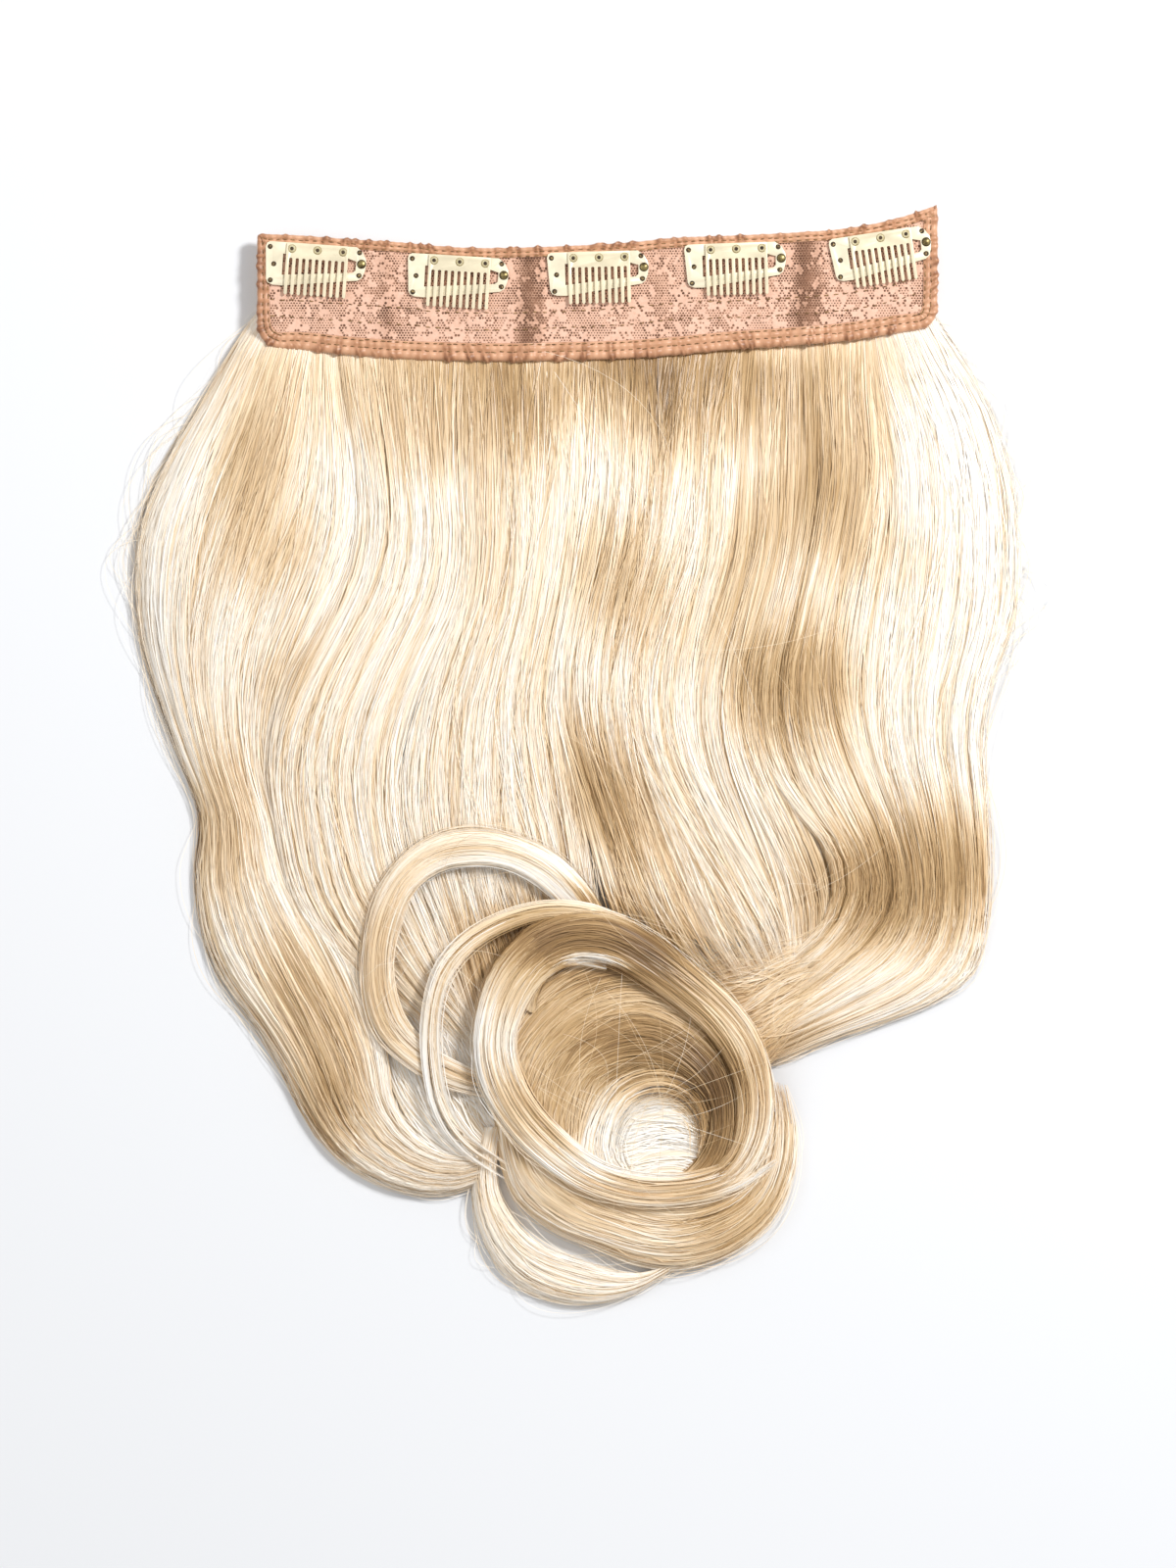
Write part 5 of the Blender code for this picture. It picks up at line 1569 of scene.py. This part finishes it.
def seam_stitches(outline, material):
    """The two rows of stitching round the binding and the two rows along the weft."""
    edge, inward, wide, places = outline
    total = places[-1] + TAPE_STATION
    middles = []
    headings = []
    lengths = []
    for row in STITCH_ROWS:
        spots = np.arange(0, total, STITCH_LENGTH + STITCH_GAP)
        spots = spots + random.normal(0, STITCH_DRIFT, len(spots))
        index = np.clip((spots / TAPE_STATION).astype(int), 0, len(edge) - 1)
        drift = random.normal(0, STITCH_DRIFT, len(spots))
        here = edge[index] + inward[index] * (wide[index] * row + drift)[:, None]
        along = np.stack([-inward[index, 1], inward[index, 0]], axis=1)
        middles.append(np.column_stack([here, STITCH_HEIGHT + fold_rise(here[:, 0])]))
        headings.append(np.arctan2(along[:, 1], along[:, 0]) + random.normal(0, 0.10, len(spots)))
        lengths.append(STITCH_LENGTH * random.uniform(0.8, 1.12, len(spots)))
    for drop in WEFT_ROWS:
        step = (STITCH_LENGTH + 2 * STITCH_GAP) / PIXEL
        px = np.arange(BAND_LEFT + WEFT_ENDS[0], BAND_RIGHT - WEFT_ENDS[1], step)
        x, y = picture(px, band_edge("top", px) + drop)
        y = y + random.normal(0, STITCH_DRIFT, len(px))
        slope = np.gradient(y, x)
        middles.append(np.column_stack([x, y, on_cloth(x, y, WEFT_LIFT)]))
        headings.append(np.arctan(slope) + random.normal(0, 0.08, len(px)))
        lengths.append(STITCH_LENGTH * random.uniform(0.8, 1.15, len(px)))
    headings = np.concatenate(headings)
    lengths = np.concatenate(lengths)
    return sew("seam_stitches", np.vstack(middles), headings, lengths, THREAD, material)


def band():
    """The band without its clips, and the thread that they are sewn on with."""
    outline = band_outline()
    cloth = base_cloth(cloth_material())
    net = lace(outline, lace_material())
    tape = binding(outline, tape_material())
    thread = thread_material("dark_thread", KNOT_COLOURS)
    seams = seam_stitches(outline, thread_material("seam_thread", SEAM_COLOURS))
    return thread


# Clips

# Places on a clip, in metres from its top left corner: X along its top edge, -Y down.
ClipPlace = namedtuple("ClipPlace", "x y")
SEWN_HOLES = [
    ClipPlace(0.0016, -0.0020),
    ClipPlace(0.0034, -0.0083),
    ClipPlace(0.0025, -0.0144),
    ClipPlace(0.0348, -0.0020),
    ClipPlace(0.0352, -0.0105),
]
EYELETS = [ClipPlace(x, -0.0023) for x in (0.00975, 0.01925, 0.02875)]
RIVET = ClipPlace(0.0358, -0.0062)

# Dark discs of painted shade in the eyelets and sewing holes, a painted shadow line round each
# eyelet's rim, and a dark ring round the rivet: radius and height above the clip's seat
BORE_SHADE = (0.00070, 0.00178)
RIM_SHADOW = (0.00160, 0.00131)
RIVET_RING = (0.00172, 0.00062)
HOLLOW_SHADE = (0.00095, 0.00063)
RAIL_SPAN = (0.0084, 0.0301)
RAIL_DEPTH = 0.0043
NECK = 0.0012
NECK_GAP = 0.00006
NECK_CUTS = 5
STEEL = 0.0006
PLATE_BEVEL = 0.00009
FLATTEST_EDGE = math.radians(50)

# Sewing on a clip: turns of thread at each hole, how far they scatter, height, length, thickness
SEWING_TURNS = 5
SEWING_SCATTER = 0.00022
SEWING_HEIGHT = (0.00045, 0.00070)
SEWING_LENGTH = (0.0008, 0.0014)
SEWING_THREAD = 0.0004
Clip = namedtuple("Clip", "name body seat heading")


def clips_of(loaded):
    """Each clip's name, the body its comb rides, its top left corner and its heading."""
    found = []
    for joint in loaded["joints"]:
        axis = joint["axis"]
        name = joint["name"].removesuffix("_snap")
        heading = math.atan2(-axis[1], -axis[0])
        found.append(Clip(name, joint["child"], Vector(joint["pos_m"]), heading))
    return found


def on_clip(clip, place, z):
    """A clip's own place, in the scene, at a height above its seat."""
    cos, sin = math.cos(clip.heading), math.sin(clip.heading)
    return Vector((
        clip.seat.x + place.x * cos - place.y * sin,
        clip.seat.y + place.x * sin + place.y * cos,
        clip.seat.z + z,
    ))


def enamel_material(name, colour, rough):
    """Cream enamel over steel, a little uneven."""
    made, tree, shader = new_material(name)
    cloud = noise(tree, 140.0, 3.0)
    dim = tuple(value * 0.86 for value in colour)
    colour_from(tree, shader, cloud, [(0.35, dim), (0.60, colour)], rough)
    shader.inputs["Metallic"].default_value = 0.10
    bump(tree, shader, cloud, 0.10, 0.0002)
    return made


def brass_material(name, colour, worn):
    """Brass, browner where its noise is low."""
    made, tree, shader = new_material(name)
    colour_from(tree, shader, noise(tree, 700.0, 3.0), [(0.38, worn), (0.62, colour)], 0.34)
    shader.inputs["Metallic"].default_value = 0.7
    return made


def refined(name, bevel, material, body):
    """A merged copy of a CAD node with small bevels on its sharp edges, in the node's place."""
    mesh = frame["nodes"][name].data.copy()
    mesh.name = f"{name}_fine"
    bm = bmesh.new()
    bm.from_mesh(mesh)
    bmesh.ops.remove_doubles(bm, verts=bm.verts, dist=1e-6)
    bmesh.ops.dissolve_limit(bm, angle_limit=math.radians(1), verts=bm.verts, edges=bm.edges)
    sharp = [
        edge for edge in bm.edges
        if len(edge.link_faces) == 2 and edge.calc_face_angle() > FLATTEST_EDGE
    ]
    if bevel:
        bmesh.ops.bevel(
            bm, geom=sharp, offset=bevel, offset_type="OFFSET", affect="EDGES", segments=2,
            profile=0.5, material=-1, clamp_overlap=True,
        )
    bm.to_mesh(mesh)
    bm.free()
    mesh.polygons.foreach_set("use_smooth", np.full(len(mesh.polygons), True))
    mesh.set_sharp_from_angle(angle=math.radians(35))
    piece = add_piece(f"{name}_fine", mesh, material, body)
    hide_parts(name)


def neck(clip, name, first, last, material):
    """The thin strip of steel between the fixed frame and the turning rail."""
    bm = bmesh.new()
    bmesh.ops.create_cube(bm, size=1.0)
    long = [edge for edge in bm.edges if abs(edge.verts[0].co.x - edge.verts[1].co.x) > 0.5]
    bmesh.ops.subdivide_edges(bm, edges=long, cuts=NECK_CUTS, use_grid_fill=True)
    low = min(first, last)
    for vert in bm.verts:
        x = low + (vert.co.x + 0.5) * abs(last - first)
        y = -NECK_GAP - (0.5 - vert.co.y) * (RAIL_DEPTH - 2 * NECK_GAP)
        vert.co = on_clip(clip, ClipPlace(x, y), 0.00002 + (vert.co.z + 0.5) * STEEL)
    strip = add_piece(name, mesh_from(bm, name), material, None)
    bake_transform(strip)


def discs(name, places, size, clip, material, body):
    """Flat round discs, joined, of one radius and height."""
    radius, z = size
    bm = bmesh.new()
    for place in places:
        shift = Matrix.Translation(on_clip(clip, place, z))
        bmesh.ops.create_circle(bm, cap_ends=True, segments=24, radius=radius, matrix=shift)
    add_piece(name, mesh_from(bm, name), material, body)


def dark_material(name, low, high):
    """Painted shade for the dull insides and edges of holes."""
    made, tree, shader = new_material(name)
    colour_from(tree, shader, noise(tree, 1400.0, 2.0), [(0.40, low), (0.70, high)], 0.9)
    return made


def clip_sewing(clip, material):
    """The thread wound through each sewing hole."""
    middles = []
    headings = []
    lengths = []
    for place in SEWN_HOLES:
        for _ in range(SEWING_TURNS):
            x = place.x + random.normal(0, SEWING_SCATTER)
            y = place.y + random.normal(0, SEWING_SCATTER)
            middles.append(on_clip(clip, ClipPlace(x, y), random.uniform(*SEWING_HEIGHT)))
            headings.append(random.uniform(0, math.pi))
            lengths.append(random.uniform(*SEWING_LENGTH))
    middles, headings, lengths = (np.array(values) for values in (middles, headings, lengths))
    sew(f"{clip.name}_sewing", middles, headings, lengths, SEWING_THREAD, material)


def clips(thread):
    """The five clips, in place of their CAD nodes, with their necks, hole shades and sewing."""
    frame_enamel = enamel_material("cream_enamel", (0.90, 0.81, 0.60), 0.34)
    comb_enamel = enamel_material("comb_enamel", (0.84, 0.745, 0.53), 0.36)
    eyelet_brass = brass_material("pale_brass", (0.78, 0.70, 0.46), (0.62, 0.52, 0.30))
    rivet_brass = brass_material("olive_brass", (0.32, 0.25, 0.10), (0.10, 0.07, 0.025))
    bore = dark_material("shadowed_bore", (0.020, 0.013, 0.007), (0.110, 0.070, 0.036))
    rim_shadow = dark_material("eyelet_rim_shadow", (0.300, 0.230, 0.110), (0.480, 0.390, 0.210))
    for clip in clips_of(frame):
        refined(f"{clip.name}_frame", PLATE_BEVEL, frame_enamel, "root")
        refined(f"{clip.name}_rail", PLATE_BEVEL, frame_enamel, clip.body)
        refined(f"{clip.name}_comb", PLATE_BEVEL, comb_enamel, clip.body)
        refined(f"{clip.name}_rivet", 0.0, rivet_brass, "root")
        for number in (1, 2, 3):
            refined(f"{clip.name}_eyelet_{number}", 0.0, eyelet_brass, clip.body)
        left, right = RAIL_SPAN
        neck(clip, f"{clip.name}_left_neck", left - NECK, left + NECK, frame_enamel)
        neck(clip, f"{clip.name}_right_neck", right + NECK, right - NECK, frame_enamel)
        # Painted shade in the eyelets' bores and the sewing holes, a painted shadow line round
        # each eyelet, and a dark ring round the rivet
        discs(f"{clip.name}_bores", EYELETS, BORE_SHADE, clip, bore, clip.body)
        discs(f"{clip.name}_washer", [RIVET], RIVET_RING, clip, bore, "root")
        discs(f"{clip.name}_rims", EYELETS, RIM_SHADOW, clip, rim_shadow, clip.body)
        discs(f"{clip.name}_hollows", SEWN_HOLES, HOLLOW_SHADE, clip, bore, "root")
        clip_sewing(clip, thread)


# Stage

# Softboxes that face the middle of the part: place and side in metres, power in watts
Softbox = namedtuple("Softbox", "name place side power")
SOFTBOXES = [
    Softbox("key", (0.95, 0.75, 1.5), 0.32, 31),
    Softbox("fill", (-1.2, 0.6, 2.0), 1.6, 11),
]
PAPER = (0.79, 0.805, 0.83, 1.0)
PAPER_REACH = 6.0
SKY = (1.0, 0.99, 0.98, 1.0)
SKY_STRENGTH = 0.49


def paper_floor():
    """The white paper that the part lies on."""
    bm = bmesh.new()
    bmesh.ops.create_grid(bm, x_segments=1, y_segments=1, size=PAPER_REACH)
    paper, _, shader = new_material("white_paper")
    shader.inputs["Base Color"].default_value = PAPER
    shader.inputs["Roughness"].default_value = 0.85
    floor = add_piece("floor", mesh_from(bm, "floor"), paper, None)


def stage():
    """Floor, lights and camera."""
    paper_floor()
    for box in SOFTBOXES:
        data = bpy.data.lights.new(box.name, "AREA")
        data.shape = "SQUARE"
        data.size = box.side
        data.energy = box.power
        lamp = bpy.data.objects.new(box.name, data)
        lamp.location = box.place
        lamp.rotation_euler = (-Vector(box.place)).to_track_quat("-Z", "Y").to_euler()
        bpy.context.scene.collection.objects.link(lamp)
    world = bpy.data.worlds.new("studio")
    world.use_nodes = True
    sky = world.node_tree.nodes["Background"].inputs
    sky["Color"].default_value = SKY
    sky["Strength"].default_value = SKY_STRENGTH
    bpy.context.scene.world = world
    bpy.context.scene.view_settings.view_transform = "Standard"

    camera = bpy.data.cameras.new("camera")
    camera.sensor_fit = "VERTICAL"
    camera.sensor_height = SENSOR
    camera.lens = SENSOR * CAMERA_HEIGHT / (PICTURE_SIZE[1] * PIXEL)
    holder = bpy.data.objects.new("camera", camera)
    holder.location = (*VIEW_CENTRE, CAMERA_HEIGHT + BAND_TOP)
    bpy.context.scene.collection.objects.link(holder)
    bpy.context.scene.camera = holder


hair()
clips(band())
stage()
bpy.context.view_layer.update()
